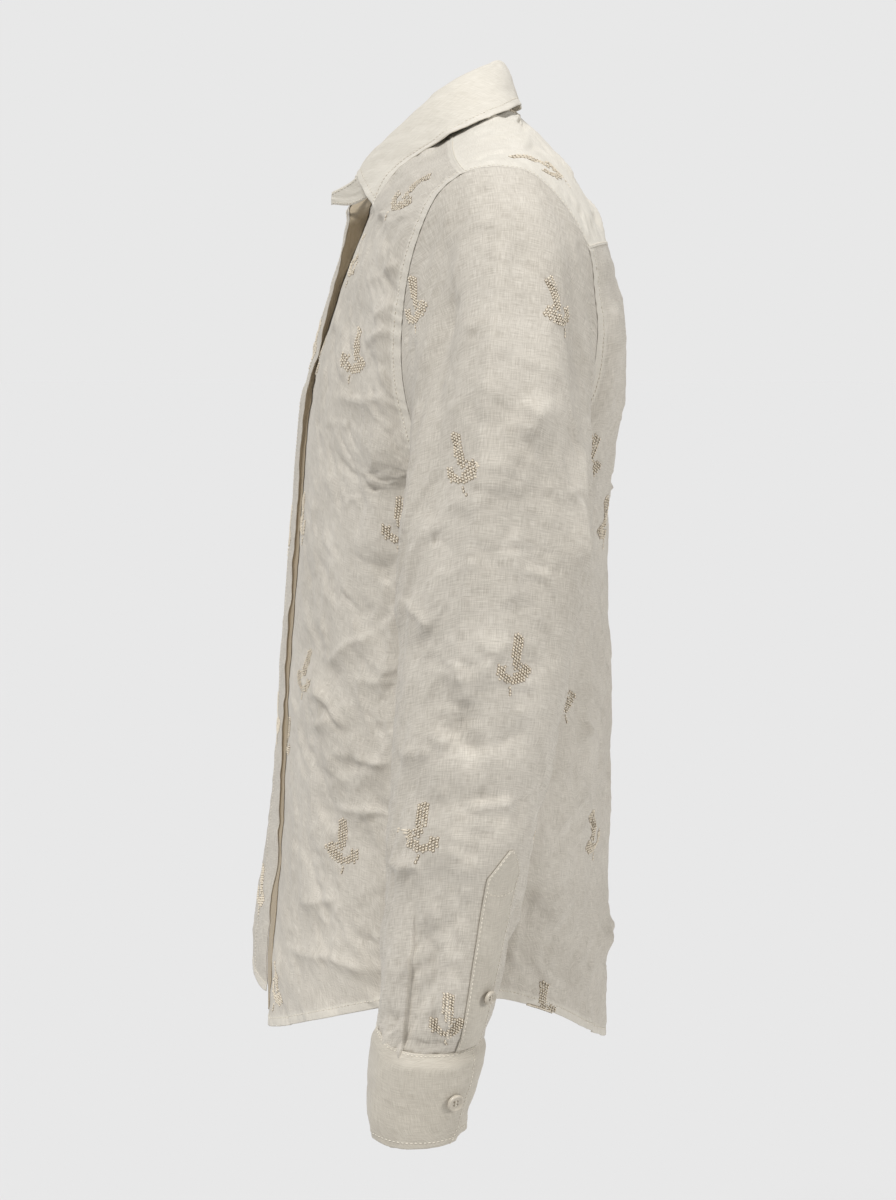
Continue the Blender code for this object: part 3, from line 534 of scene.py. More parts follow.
class Panel:
    """A sheet of cloth: points in rows down and columns across, the way out of the cloth at each,
    and its own measures across and down."""

    def __init__(self, name, grid, middle, closed=False, calm=None):
        self.name, self.grid, self.closed = name, grid, closed
        self.calm = grid if calm is None else calm
        out, calm_out = normals(grid, closed), normals(self.calm, closed)
        self.turned = float((out * (grid - np.array(middle))).sum()) < 0
        self.out, self.calm_out = (-out, -calm_out) if self.turned else (out, calm_out)
        self.across, self.down = measures(grid)
        self.doubled = None

    def blend(self, arrays, row, col):
        """Arrays of the panel read at places between its rows and columns, from four corners."""
        rows, cols = self.grid.shape[:2]
        row = np.clip(row, 0, rows - 1.001)
        col = col % cols if self.closed else np.clip(col, 0, cols - 1.001)
        r, c = row.astype(int), col.astype(int)
        n, f, g = (c + 1) % cols, (row - r)[..., None], (col - c)[..., None]
        return [(a[r, c] * (1 - g) + a[r, n] * g) * (1 - f)
                + (a[r + 1, c] * (1 - g) + a[r + 1, n] * g) * f for a in arrays]

    def at(self, row, col):
        """Points and ways out at places between the rows and columns."""
        point, out = self.blend((self.grid, self.out), row, col)
        return point, unit(out)

    def line(self, edge, inset):
        """Rows and columns of a line that keeps its distance from one edge of the panel."""
        rows, cols = self.grid.shape[:2]
        if edge in ("top", "bottom"):
            far = self.down if edge == "top" else (self.down[-1:] - self.down)[::-1]
            at = np.array([np.interp(inset, far[:, c], np.arange(rows)) for c in range(cols)])
            at, along = (at if edge == "top" else rows - 1 - at), np.arange(cols, dtype=float)
            if self.closed:
                at, along = np.append(at, at[0]), np.arange(cols + 1, dtype=float)
            line = (at, along)
        else:
            far = self.across if edge == "start" else (self.across[:, -1:] - self.across)[:, ::-1]
            at = np.array([np.interp(inset, far[r], np.arange(cols)) for r in range(rows)])
            line = (np.arange(rows, dtype=float), at if edge == "start" else cols - 1 - at)
        return line

    def nearest(self, y, z):
        """Row and column of the point that is closest to a place seen from the wearer's left."""
        gap = (self.grid[..., 1] - y) ** 2 + (self.grid[..., 2] - z) ** 2
        gap = gap + (self.calm_out[..., 0] < 0)
        return np.unravel_index(np.argmin(gap), gap.shape)

    def spread(self, row, col, x, y):
        """Points and ways out at x across and y up from a point, measured in the plane that
        touches the calm cloth there: rows and columns are corrected until they agree."""
        r = np.clip(row + 8.0 * np.array((0, 1, -1, 0, 0)), 0, len(self.grid) - 1.001)
        c = col + 8.0 * np.array((0, 0, 0, 1, -1))
        if not self.closed:
            c = np.clip(c, 0, self.grid.shape[1] - 1.001)
        points = self.blend((self.calm,), r, c)[0]
        way = unit(np.cross(points[1] - points[2], points[3] - points[4]))
        way = way * np.sign(way @ self.calm_out[row, col])
        up = unit(np.array((0, 0, 1.0)) - way * way[2])
        here = np.stack([np.cross(up, way), up])
        back = np.linalg.inv(np.stack([here @ (points[1] - points[2]) / (r[1] - r[2]),
                                       here @ (points[3] - points[4]) / (c[3] - c[4])], 1))
        target = np.stack([x, y])
        spot = np.array([[r[0]], [c[0]]]) + 0 * target
        for _ in range(9):
            now = here @ (self.blend((self.calm,), *spot)[0] - points[0]).T
            spot = spot + .8 * back @ (target - now)
        return self.at(*spot)


def seam(panel_down, along, dist, band, height, pucker, seed):
    """Push beside a sewn edge: the allowance stands up, a groove runs under its stitching, and the
    cloth puckers, a sine wave along the seam that dies away from it."""
    step = height * smooth(1 - (dist - band) / FALL)
    groove = -.0003 * np.exp(-((dist - band + .0012) / .0008) ** 2)
    wander = bumps(along / .03, panel_down / .05, seed)
    ripple = np.sin(2 * np.pi * along / .0088 + 5 * wander) * (.6 + wander)
    return step + groove + pucker * ripple * np.exp(-((dist - .6 * band) / (1.3 * band)) ** 2)


def worn(grid, closed, push, sign=1.0):
    """The grid with each point pushed out along the cloth's own way out."""
    return grid + normals(grid, closed) * (sign * push)[..., None]


# Meshes

def mesh_piece(name, points, faces, coordinates=None):
    """One object at the origin from arrays of points and of faces with equally many corners."""
    mesh = bpy.data.meshes.new(name)
    mesh.vertices.add(len(points))
    mesh.vertices.foreach_set("co", np.ascontiguousarray(points, np.float32).ravel())
    count, sides = faces.shape
    mesh.loops.add(count * sides)
    mesh.loops.foreach_set("vertex_index", np.ascontiguousarray(faces, np.int32).ravel())
    mesh.polygons.add(count)
    mesh.polygons.foreach_set("loop_start", np.arange(count, dtype=np.int32) * sides)
    mesh.polygons.foreach_set("use_smooth", np.ones(count, bool))
    if coordinates is not None:
        layer = mesh.uv_layers.new(name="cloth")
        layer.data.foreach_set("uv", np.ascontiguousarray(coordinates, np.float32).ravel())
    mesh.update(calc_edges=True)
    mesh.validate()
    item = bpy.data.objects.new(name, mesh)
    bpy.context.scene.collection.objects.link(item)
    return item


def quads(rows, cols, closed, turned):
    """Faces of a grid as corner numbers, and the same as row and column numbers for its measures."""
    r, c = np.meshgrid(np.arange(rows - 1), np.arange(cols if closed else cols - 1), indexing="ij")
    r, c = r.ravel(), c.ravel()
    corners = np.stack([np.stack([r, c], 1), np.stack([r + 1, c], 1),
                        np.stack([r + 1, c + 1], 1), np.stack([r, c + 1], 1)], 1)
    if turned:
        corners = corners[:, ::-1]
    return corners[..., 0] * cols + corners[..., 1] % cols, corners


def coordinates_of(panel, corners):
    """Metres across and down at each corner of each face. A sleeve is measured level from the
    middle of its outer side, and down along a slope, so that its weave runs straight."""
    across, down = panel.across, panel.down
    if panel.closed:
        grid = np.concatenate([panel.grid, panel.grid[:, :1]], axis=1)
        across = measures(grid * np.array((1.0, 1.0, 0.0)))[0]
        across = across - across[:, across.shape[1] // 2, None]
        down = grid @ np.array((.45 * np.sign(grid[0, 0, 0]), 0, -.9))
    r, c = corners[..., 0], corners[..., 1]
    return np.stack([across[r, c], -down[r, c]], -1)


def single(panel, materials, thick=LAYER):
    """A panel of one layer: its grid, given a thickness inward."""
    rows, cols = panel.grid.shape[:2]
    faces, corners = quads(rows, cols, panel.closed, panel.turned)
    item = mesh_piece(panel.name + "_cloth", panel.grid.reshape(-1, 3), faces,
                      coordinates_of(panel, corners))
    if panel.doubled is not None:
        layers = item.data.attributes.new("doubled", "FLOAT", "POINT")
        layers.data.foreach_set("value", panel.doubled.astype(np.float32).ravel())
    for m in materials:
        item.data.materials.append(m)
    solid = item.modifiers.new("thickness", "SOLIDIFY")
    solid.thickness, solid.offset, solid.use_even_offset = thick, -1, False
    # The inner faces take the last material, which for the cloth is the painted shade of the inside.
    solid.material_offset = len(materials) - 1
    return placed(item, panel.name)


def double(panel, materials, thick=TWO_LAYERS, round_at=.0011):
    """A panel of two layers that meet at its rim: the faces stand apart by the thickness times a
    quarter circle of the distance from the rim."""
    rows, cols = panel.grid.shape[:2]
    across, down = panel.across, panel.down
    rim = np.minimum(down, down[-1:] - down)
    if not panel.closed:
        rim = np.minimum(rim, np.minimum(across, across[:, -1:] - across))
    swell = np.sqrt(1 - (1 - np.clip(rim / round_at, 0, 1)) ** 2)[..., None] * thick / 2
    middle = panel.grid - panel.out * thick / 2
    faces, corners = quads(rows, cols, panel.closed, panel.turned)
    inner = np.where(rim.ravel() < 1e-9, np.arange(rows * cols), np.arange(rows * cols) + rows * cols)
    points = np.concatenate([(middle + panel.out * swell).reshape(-1, 3),
                             (middle - panel.out * swell).reshape(-1, 3)])
    used, flat = np.unique(np.concatenate([faces, inner[faces[:, ::-1]]]), return_inverse=True)
    uv = coordinates_of(panel, corners)
    item = mesh_piece(panel.name + "_cloth", points[used], flat.reshape(-1, 4),
                      np.concatenate([uv, uv[:, ::-1]]))
    item.data.materials.append(materials[0])
    return placed(item, panel.name)


def placed(item, node=None):
    """The piece rides on the shirt and stands for its solid."""
    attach(item, "root")
    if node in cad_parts:
        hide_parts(node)
    return item


# Thread

def beads(start, end, out, wide, high):
    """Short plump stitches from start to end: two three-cornered sections between two tips."""
    side = unit(np.cross(out, end - start)) * wide / 2
    rise = out * high
    rings = [start + (end - start) * t for t in (.22, .78)]
    points = np.stack([start - rise * .2, rings[0] + side, rings[0] + rise, rings[0] - side,
                       rings[1] + side, rings[1] + rise, rings[1] - side, end - rise * .2], 1)
    one = np.array([(0, 1, 2), (0, 2, 3), (0, 3, 1), (7, 5, 4), (7, 6, 5), (7, 4, 6),
                    (1, 4, 5), (1, 5, 2), (2, 5, 6), (2, 6, 3), (3, 6, 4), (3, 4, 1)])
    return points, one


def thread_piece(name, groups, materials):
    """One mesh of many stitches; each group of them has its own material."""
    points = np.concatenate([g[0] for g in groups])
    count = len(points)
    faces = (np.arange(count)[:, None, None] * 8 + groups[0][1][None]).reshape(-1, 3)
    item = mesh_piece(name, points.reshape(-1, 3), faces)
    for m in materials:
        item.data.materials.append(m)
    kind = np.concatenate([np.full(len(g[0]) * 12, min(i, len(materials) - 1))
                           for i, g in enumerate(groups)])
    item.data.polygons.foreach_set("material_index", kind.astype(np.int32))
    return placed(item)


def sewn(panel, lines):
    """Stitches along lines of rows and columns: each starts one pitch after the one before it."""
    starts, ends, outs = [], [], []
    for rows, cols in lines:
        fine = np.linspace(0, len(rows) - 1, len(rows) * 6)
        rows, cols = (np.interp(fine, np.arange(len(rows)), x) for x in (rows, cols))
        points, _ = panel.at(rows, cols)
        run = np.concatenate([[0], np.cumsum(np.linalg.norm(np.diff(points, axis=0), axis=1))])
        begin = np.arange(PITCH / 2, run[-1] - STITCH, PITCH)
        for store, where in ((starts, begin), (ends, begin + STITCH)):
            store.append(panel.at(np.interp(where, run, rows), np.interp(where, run, cols))[0])
        middle = begin + STITCH / 2
        outs.append(panel.at(np.interp(middle, run, rows), np.interp(middle, run, cols))[1])
    start, end, out = (np.concatenate(x) for x in (starts, ends, outs))
    return beads(start + out * SEWN_LIFT, end + out * SEWN_LIFT, out, SEWN_WIDE, SEWN_HIGH)


def sprig_beads():
    """A sprig in its own plane: slanted brick rows of beads, kept where they lie within the half
    width of a tall leaf or of a crescent under it, and a short stem."""
    slant, step, row = math.radians(-30), .00200, .00145
    i, j = (x.ravel() for x in np.meshgrid(np.arange(-14, 15), np.arange(-14, 15)))
    run, rise = (i + .5 * (j % 2)) * step, j * row
    spots = np.stack([run * math.cos(slant) - rise * math.sin(slant),
                      run * math.sin(slant) + rise * math.cos(slant)], -1)
    leaf = [(-.0024, .0128, .0030), (-.0012, .0060, .0038), (.0010, -.0030, .0026)]
    crescent = [(-.0080, -.0062, .0024), (-.0064, -.0098, .0029), (-.0004, -.0126, .0022),
                (.0050, -.0092, .0033), (.0074, -.0054, .0034)]
    best = np.full(len(spots), 9.0)
    for line in (leaf, crescent):
        line = np.array(line)
        for a, b in zip(line[:-1], line[1:]):
            way = (b - a)[:2]
            t = np.clip(((spots - a[:2]) @ way) / (way @ way), 0, 1)
            gap = np.linalg.norm(spots - a[:2] - t[:, None] * way, axis=1)
            best = np.minimum(best, gap - a[2] - t * (b - a)[2])
    spots = spots[best < 0]
    way = np.broadcast_to((math.cos(slant - .12), math.sin(slant - .12)), spots.shape)
    stem = np.array([(.0004, -.0170), (.0010, -.0190), (.0018, -.0208)])
    return np.concatenate([spots, stem]), np.concatenate([way, np.broadcast_to((.15, -1), stem.shape)])


def embroidery(panel, spots):
    """Sprigs at rows and columns of a panel: pale plump beads over flat darker ground stitches, whose
    colour is partly tan thread and partly painted shade between the beads.
    """
    flat, way = sprig_beads()
    pale, ground = [], []
    for row, col, turn, flip in spots:
        c, s = math.cos(math.radians(turn)), math.sin(math.radians(turn))
        spin = np.array(((c, s), (-s, c)))
        shape, runs = (x * np.array((flip, 1)) @ spin for x in (flat, unit(way)))
        jog = np.random.default_rng(int(row * 7 + col)).normal(0, .00012, shape.shape)
        widen = 1 / max(.62, abs(float(panel.calm_out[row, col, 0])))
        shape, runs = shape * np.array((widen, 1)), runs * np.array((widen, 1))
        for store, half, wide, high, lift in ((pale, .00088, .00130, .00062, .00012),
                                              (ground, .00112, .0018, .00010, .00002)):
            a = panel.spread(row, col, *(shape + jog - runs * half).T)
            b = panel.spread(row, col, *(shape + jog + runs * half).T)
            out = unit(a[1] + b[1])
            store.append(beads(a[0] + out * lift, b[0] + out * lift, out, wide, high))
    groups = [(np.concatenate([g[0] for g in store]), store[0][1]) for store in (pale, ground)]
    return thread_piece(panel.name + "_sprigs", groups, [PALE_THREAD, TAN_THREAD_AND_PAINTED_SHADE])


def sprig_places(panel, seed):
    """Sprigs of one panel: the listed ones, then half-drop rows at places that keep clear of them."""
    rows, cols = panel.grid.shape[:2]
    spots = [(*panel.nearest(y, z), turn, flip) for who, y, z, turn, flip in SPRIGS
             if who == panel.name]
    taken = [panel.grid[r, c] for r, c, _, _ in spots]
    rng = np.random.default_rng(seed)
    deep, wide = panel.down[:, cols // 2][-1], panel.across[rows // 2, -1]
    for i in range(int(deep / SPRIG_DOWN * 2) + 1):
        for j in range(int(wide / SPRIG_ACROSS) + 1):
            y = .035 + i * SPRIG_DOWN / 2 + rng.uniform(-.006, .006)
            x = .030 + (j + .5 * (i % 2)) * SPRIG_ACROSS + rng.uniform(-.006, .006)
            turn, flip = rng.uniform(-22, 22), rng.choice((-1, 1))
            r = int(np.searchsorted(panel.down[:, cols // 2], y))
            if r >= rows or y > deep - .022:
                continue
            c = int(np.searchsorted(panel.across[r], x))
            inside = SPRIG_EDGE < x < panel.across[r, -1] - SPRIG_EDGE
            if not panel.closed and (c >= cols or not inside):
                continue
            c, here = c % cols, panel.grid[r, c % cols]
            if here[0] > 0 and panel.calm_out[r, c, 0] > .10:
                continue
            if all(np.linalg.norm(here - t) > SPRIG_APART for t in taken):
                spots.append((r, c, turn, flip))
                taken.append(here)
    return spots


# Materials

def new_material(name):
    """A material with an empty tree and its shader and output."""
    made = bpy.data.materials.new(name)
    made.use_nodes = True
    tree = made.node_tree
    tree.nodes.clear()
    shader, out = tree.nodes.new("ShaderNodeBsdfPrincipled"), tree.nodes.new("ShaderNodeOutputMaterial")
    tree.links.new(shader.outputs[0], out.inputs[0])
    return made, tree, shader


def maths(tree, kind, a, b=None, c=None):
    """A Math node whose inputs are numbers or other nodes' outputs."""
    node = tree.nodes.new("ShaderNodeMath")
    node.operation = kind
    for i, value in enumerate((a, b, c)):
        if isinstance(value, (int, float)):
            node.inputs[i].default_value = value
        elif value is not None:
            tree.links.new(value, node.inputs[i])
    return node.outputs[0]


def noise(tree, vector, scale, detail=2.0, stretch=(1, 1, 1)):
    """A Noise texture's height over coordinates stretched by three numbers."""
    place = tree.nodes.new("ShaderNodeMapping")
    place.inputs["Scale"].default_value = stretch
    tree.links.new(vector, place.inputs["Vector"])
    node = tree.nodes.new("ShaderNodeTexNoise")
    node.inputs["Scale"].default_value, node.inputs["Detail"].default_value = scale, detail
    tree.links.new(place.outputs[0], node.inputs["Vector"])
    return node.outputs["Fac"]


THREAD, LINEN_ROUGH = .00052, .88        # metres from one thread to the next; the matte finish


def linen(name, colour, dark, slub=1.0):
    """Plain weave: threads from two sines, thicker slubs from noises drawn out along the threads,
    soft mottling, and a fine crumple; all of it on the cloth's own measures."""
    made, tree, shader = new_material(name)
    coordinates = tree.nodes.new("ShaderNodeUVMap")
    coordinates.uv_map = "cloth"
    flat = coordinates.outputs[0]
    parts = tree.nodes.new("ShaderNodeSeparateXYZ")
    tree.links.new(flat, parts.inputs[0])
    waves = [maths(tree, "SINE", maths(tree, "MULTIPLY", parts.outputs[i], math.pi / THREAD))
             for i in (0, 1)]
    weave = maths(tree, "MULTIPLY", *waves)
    warp = noise(tree, flat, 1.0, 3.0, (1900, 130, 1))
    weft = noise(tree, flat, 1.0, 3.0, (110, 2100, 1))
    mottle = noise(tree, flat, 34.0, 3.0)
    patch = noise(tree, flat, 9.0, 2.0)
    streaks = maths(tree, "ADD", maths(tree, "SUBTRACT", warp, .5), maths(tree, "SUBTRACT", weft, .5))
    shade = maths(tree, "MULTIPLY_ADD", streaks, 1.15 * slub, .5)
    shade = maths(tree, "MULTIPLY_ADD", maths(tree, "SUBTRACT", mottle, .5), .35, shade)
    shade = maths(tree, "MULTIPLY_ADD", maths(tree, "SUBTRACT", patch, .5), .45, shade)
    shade = maths(tree, "MULTIPLY_ADD", weave, .05, shade)
    ramp = tree.nodes.new("ShaderNodeValToRGB")
    ramp.color_ramp.elements[0].position, ramp.color_ramp.elements[0].color = .12, (*dark, 1)
    ramp.color_ramp.elements[1].position, ramp.color_ramp.elements[1].color = .80, (*colour, 1)
    tree.links.new(shade, ramp.inputs[0])
    layers, paler = tree.nodes.new("ShaderNodeAttribute"), tree.nodes.new("ShaderNodeMixRGB")
    layers.attribute_name = "doubled"
    tree.links.new(maths(tree, "MULTIPLY", layers.outputs["Fac"], .55), paler.inputs[0])
    tree.links.new(ramp.outputs[0], paler.inputs[1])
    paler.inputs[2].default_value = (.74, .70, .62, 1)
    tree.links.new(paler.outputs[0], shader.inputs["Base Color"])
    crumple = noise(tree, flat, 120.0, 3.0)
    height = maths(tree, "MULTIPLY_ADD", weave, .16, maths(tree, "MULTIPLY", streaks, .7))
    height = maths(tree, "MULTIPLY_ADD", crumple, 2.2, height)
    bump = tree.nodes.new("ShaderNodeBump")
    bump.inputs["Strength"].default_value, bump.inputs["Distance"].default_value = .55, .00035
    tree.links.new(height, bump.inputs["Height"])
    tree.links.new(bump.outputs[0], shader.inputs["Normal"])
    shader.inputs["Roughness"].default_value = LINEN_ROUGH
    shader.inputs["Specular IOR Level"].default_value = .28
    shader.inputs["Sheen Weight"].default_value = .12
    shader.inputs["Sheen Roughness"].default_value = .5
    return made


def plain(name, colour, rough, fleck=.10, scale=900.0, gloss=.4):
    """One colour with a fine fleck from a noise on the object's coordinates."""
    made, tree, shader = new_material(name)
    place = tree.nodes.new("ShaderNodeTexCoord")
    spots = noise(tree, place.outputs["Object"], scale, 2.0)
    ramp = tree.nodes.new("ShaderNodeValToRGB")
    ramp.color_ramp.elements[0].position, ramp.color_ramp.elements[1].position = .3, .7
    ramp.color_ramp.elements[0].color = (*(c * (1 - fleck) for c in colour), 1)
    ramp.color_ramp.elements[1].color = (*(min(1, c * (1 + fleck)) for c in colour), 1)
    tree.links.new(spots, ramp.inputs[0])
    tree.links.new(ramp.outputs[0], shader.inputs["Base Color"])
    shader.inputs["Roughness"].default_value = rough
    shader.inputs["Specular IOR Level"].default_value = gloss
    return made


LINEN = linen("linen_cloth", (.680, .636, .562), (.446, .407, .345))
# The inner faces of the cloth: a darker tan, painted shade of the shirt's inside.
LINEN_PAINTED_SHADE = linen("linen_inside_painted_shade", (.50, .42, .30), (.36, .29, .20))
# Collar and yoke: paler partly for their double layer, and partly as painted light from above.
DOUBLE_LINEN_PAINTED_TOP_LIGHT = linen("double_linen_painted_top_light", (.79, .75, .67), (.60, .56, .48), slub=.8)
# Cuffs and plackets: darker than the sleeve as painted shade, since the light falls from above.
CUFF_LINEN_PAINTED_SHADE = linen("cuff_linen", (.630, .586, .505), (.43, .39, .325), slub=.8)
PALE_THREAD = plain("pale_thread", (.80, .72, .59), .7)
# Ground stitches: partly tan thread, partly painted shade between the beads.
TAN_THREAD_AND_PAINTED_SHADE = plain("tan_thread_and_painted_shade", (.32, .245, .16), .85)
SEWING_THREAD = plain("sewing_thread", (.76, .71, .61), .7)
HORN = plain("button_horn", (.53, .48, .40), .30, .08, 260.0, .5)


# The shirt

def finished(grid, seed, seams, joined, side=1):
    """Folds, creases, rumples and seams pushed into a body panel drawn on the left. Large pushes
    fade out towards the edges that are joined to another panel. Also how doubled the cloth is."""
    across, down = measures(grid)
    inward = normals(grid)
    middle = np.array((0, .02, grid[..., 2].mean()))
    sign = 1.0 if float((inward * (grid - middle)).sum()) > 0 else -1.0
    edges = {"top": (down, across), "bottom": (down[-1:] - down, across),
             "start": (across, down), "finish": (across[:, -1:] - across, down)}
    push = folds(grid, "body") + rumple(across, down, seed)
    if side > 0:
        push += creases(grid, "body")
    push *= np.clip((np.abs(grid[..., 0]) - .02) / .05, .35, 1)
    for edge in joined:
        push *= smooth(edges[edge][0] / .018)
    if len(joined) == 2 and grid[0, 0, 0] > .01:
        wave = bumps(across / .4, down / .034, seed + 90) + .6 * bumps(across / .4, down / .013, seed + 91)
        push += .0014 * wave * np.exp(-across / .016)
    doubled = np.zeros(grid.shape[:2])
    for i, (edge, band, height, pucker) in enumerate(seams):
        dist, along = edges[edge]
        push += seam(down, along, dist, band, height, pucker, seed + 30 + i)
        doubled = np.maximum(doubled, smooth(1 - (dist - band) / FALL))
    return grid + inward * (sign * push)[..., None], doubled


flip = np.array((-1.0, 1, 1))
HEM, FELL = .0070, .0068
across, back_across, hidden_across = (spaced(.26, middle=m) for m in (FRONT_GRID, BACK_GRID, HIDDEN_GRID))
panels, rows_of = {}, {}
for name, right, seed in (("front_left", False, 11), ("front_right", True, 23)):
    rows_of[name] = body_rows(12, -9, right, HIDDEN_GRID if right else FRONT_GRID)
    grid = body_grid(rows_of[name], hidden_across if right else across, right)
    seams = [("bottom", HEM, .0004, .00035), ("finish", FELL, .0004, .0004), ("top", .002, .0002, .0002)]
    grid, doubled = finished(grid, seed, seams, ("finish", "top"), -1 if right else 1)
    if right:
        grid = grid * flip
    calm = body_grid(rows_of[name], hidden_across if right else across, right) * (flip if right else 1)
    panels[name] = Panel(name, grid, (0, .03, -.30), calm=calm)
    panels[name].doubled = doubled
for name, first, last, seed, seams in (
        ("yoke", 12, 21, 37, [("top", .004, .0003, .0002), ("bottom", .004, .0003, .0002),
                              ("finish", .004, .0002, .0002)]),
        ("back", 21, 39, 41, [("bottom", HEM, .0004, .00035), ("finish", FELL, .0004, .0004)])):
    rows = body_rows(first, last, False, BACK_GRID)
    half = body_grid(rows, back_across, False)
    joined = ("finish", "top", "bottom") if name == "yoke" else ("finish", "top")
    left, doubled = finished(half, seed, seams, joined)
    right, _ = finished(half, seed + 1, seams, joined, -1)
    blend = smooth(np.minimum(measures(half)[0] / .03, 1))[..., None]
    middle = (left + right) / 2
    left, right = (middle * (1 - blend) + g * blend for g in (left, right))
    grid = np.concatenate([(right * flip)[:, :0:-1], left], axis=1)
    calm = np.concatenate([(half * flip)[:, :0:-1], half], axis=1)
    panels[name] = Panel(name, grid, (0, .02, -.15 if name == "yoke" else -.30), calm=calm)
    panels[name].doubled = np.concatenate([doubled[:, :0:-1], doubled], axis=1)

for name in panels:
    double_layer = name == "yoke"
    # The yoke takes the paler cloth, partly painted top light.
    single(panels[name], [DOUBLE_LINEN_PAINTED_TOP_LIGHT if double_layer else LINEN, LINEN_PAINTED_SHADE],
           .0009 if double_layer else LAYER)

where_rows = np.concatenate([spaced(.17)[:-1], 1 + spaced(.32)])
angles = np.concatenate([np.arange(0, PLEAT_FROM, SLEEVE_STEP), np.arange(PLEAT_FROM, PLEAT_TO, PLEAT_STEP),
                         np.arange(PLEAT_TO, 359, SLEEVE_STEP)])
for name, seed, turn in (("sleeve_left", 61, 1), ("sleeve_right", 67, -1)):
    where, angle = np.meshgrid(where_rows, angles, indexing="ij")
    calm = sleeve_grid(where, angle)
    grid = sleeve_push(calm, where, angle, seed)
    if turn < 0:
        grid, calm = grid * flip, calm * flip
    panels[name] = Panel(name, grid, (.228 * turn, .015, -.30), closed=True, calm=calm)
    single(panels[name], [LINEN, LINEN_PAINTED_SHADE])

places = spaced(.29, .0005, .0024, .006)
rows_at = spaced(.061, .0005, .0024, .006)
for name, turn in (("cuff_left", 1), ("cuff_right", -1)):
    cells = ring_cells(CUFF, rows_at)
    low = np.clip((rows_at - .76) / .24, 0, 1)
    trim = 10 * (.35 * low + .65 * (1 - np.sqrt(1 - low**2)))
    angle = CUFF_FROM + trim[:, None] + places[None] * (CUFF_TURN - 2 * trim[:, None])
    inside = CUFF_LAP * smooth((CUFF_FROM + CUFF_STEP_FROM - angle) / CUFF_STEP)
    close_in = .0022 * (1 - smooth(rows_at * .061 / .010))[:, None]
    outer = np.clip(-np.cos(np.radians(angle)), 0, 1)
    front = np.exp(-((angle - 360 - 98) / 34) ** 2)
    cut_in = .0040 * front * smooth((rows_at - .62) / .38)[:, None] ** 2
    grid = ring_point(cells[:, None], angle - 360, inside + cut_in + close_in * (1 + .5 * outer))
    grid[..., 2] += .0065 * front * (1 - rows_at[:, None]) ** 2
    across_here, down_here = measures(grid)
    dent = -.00035 * sum(np.exp(-((d - .0052) / .0007) ** 2) for d in
                         (down_here[-1:] - down_here, across_here[:, -1:] - across_here))
    swell = rumple(across_here, down_here, 71) * .35
    pressed = .0024 * np.exp(-np.abs(angle - 360 - 128 + 7 * rows_at[:, None]) / 16)
    grid = worn(grid, False, dent + swell + pressed)
    panels[name] = Panel(name, grid if turn > 0 else grid * flip, (.227 * turn, -.018, -.58))
    # The cuff takes the darker cloth of painted shade.
    double(panels[name], [CUFF_LINEN_PAINTED_SHADE])

for name, turn in (("placket_left", 1), ("placket_right", -1)):
    down_it = spaced(.135, .0005, .002, .004)
    where = (PLACKET_TOP + (PLACKET_END - PLACKET_TOP) * down_it)[:, None]
    half = PLACKET_TIP + PLACKET_HALF * np.minimum(down_it / PLACKET_POINT, 1)
    angle = placket_middle(where) + half[:, None] * (
        2 * spaced(.024, .0004, .0015, .003)[None] - 1)
    sleeve = panels["sleeve_" + name[8:]]
    at_row = np.interp(where + 0 * angle, where_rows, np.arange(len(where_rows)))
    grid, out = sleeve.at(at_row, np.interp(angle, angles, np.arange(len(angles))))
    grid = grid + out * .0012
    panels[name] = Panel(name, grid, (.225 * turn, 0, -.48))
    # The placket takes the same darker cloth of painted shade.
    double(panels[name], [CUFF_LINEN_PAINTED_SHADE], .0010, .0010)


def stand_points(right):
    """Half of the collar stand as a small grid: it stands on the neckline, its front end is free."""
    s, lift = np.linspace(0, 1, 19), np.linspace(0, 1, 4)[:, None, None]
    cells = read(STAND, s)
    foot, top = cells[:, :3] + np.array((0, 0, .0045 * right)), cells[:, 3:]
    neck = body_grid(np.interp(s, (0, .60, .93), (18, 12, 10)), np.array([0.0]), right)[:, 0]
    free = np.clip((s - .80) / .12, 0, 1)[:, None]
    foot = foot * free + (neck + np.array((0, 0, .0004))) * (1 - free)
    end = .3 * np.maximum(0, (s - .93) / .07)[:, None] ** 2
    return foot + (top - foot) * (lift * (1 - end) + .5 * end)


def leaf_points(right):
    """Half of the collar leaf as a small grid: cubics from its fold over the shoulder, each point
    kept a little above the cloth of the body below it."""
    shell = body_grid(np.arange(-9, 31), np.linspace(0, 1, 13), right)
    corners = quads(40, 13, False, False)[0]
    tree = BVHTree.FromPolygons(shell.reshape(-1, 3).tolist(), corners.tolist())

    def ground(x, y):
        hit = tree.ray_cast(Vector((max(x, .0006), y, .2)), Vector((0, 0, -1)))[0]
        return hit.z if hit else -1.0

    columns = []
    for s in np.linspace(0, 1, 18):
        fold_at, ex, ey, ez, roll = read(LEAF, s)
        cells, near = read(STAND, fold_at), read(STAND, [max(fold_at - .02, 0), min(fold_at + .02, 1)])
        foot, top = cells[:3], cells[3:]
        up = unit(top - foot)
        out = unit(np.cross(up, unit(near[1, 3:] - near[0, 3:]))) if s else np.array((0.0, 1.0, 0.0))
        start = top + up * .0031
        edge = np.array((ex, ey, max(ez, ground(ex, ey) + .0035)))
        drop = np.linalg.norm(edge - start)
        arrive = unit(edge - top - out * roll) * drop * .8
        fall = curve(start, out * roll * 6, edge, arrive, np.linspace(0, 1, 8)[:, None])
        fall[:, 2] = [max(z, ground(x, y) + .0032) for x, y, z in fall]
        columns.append(fall)
    return np.array(columns).transpose(1, 0, 2)


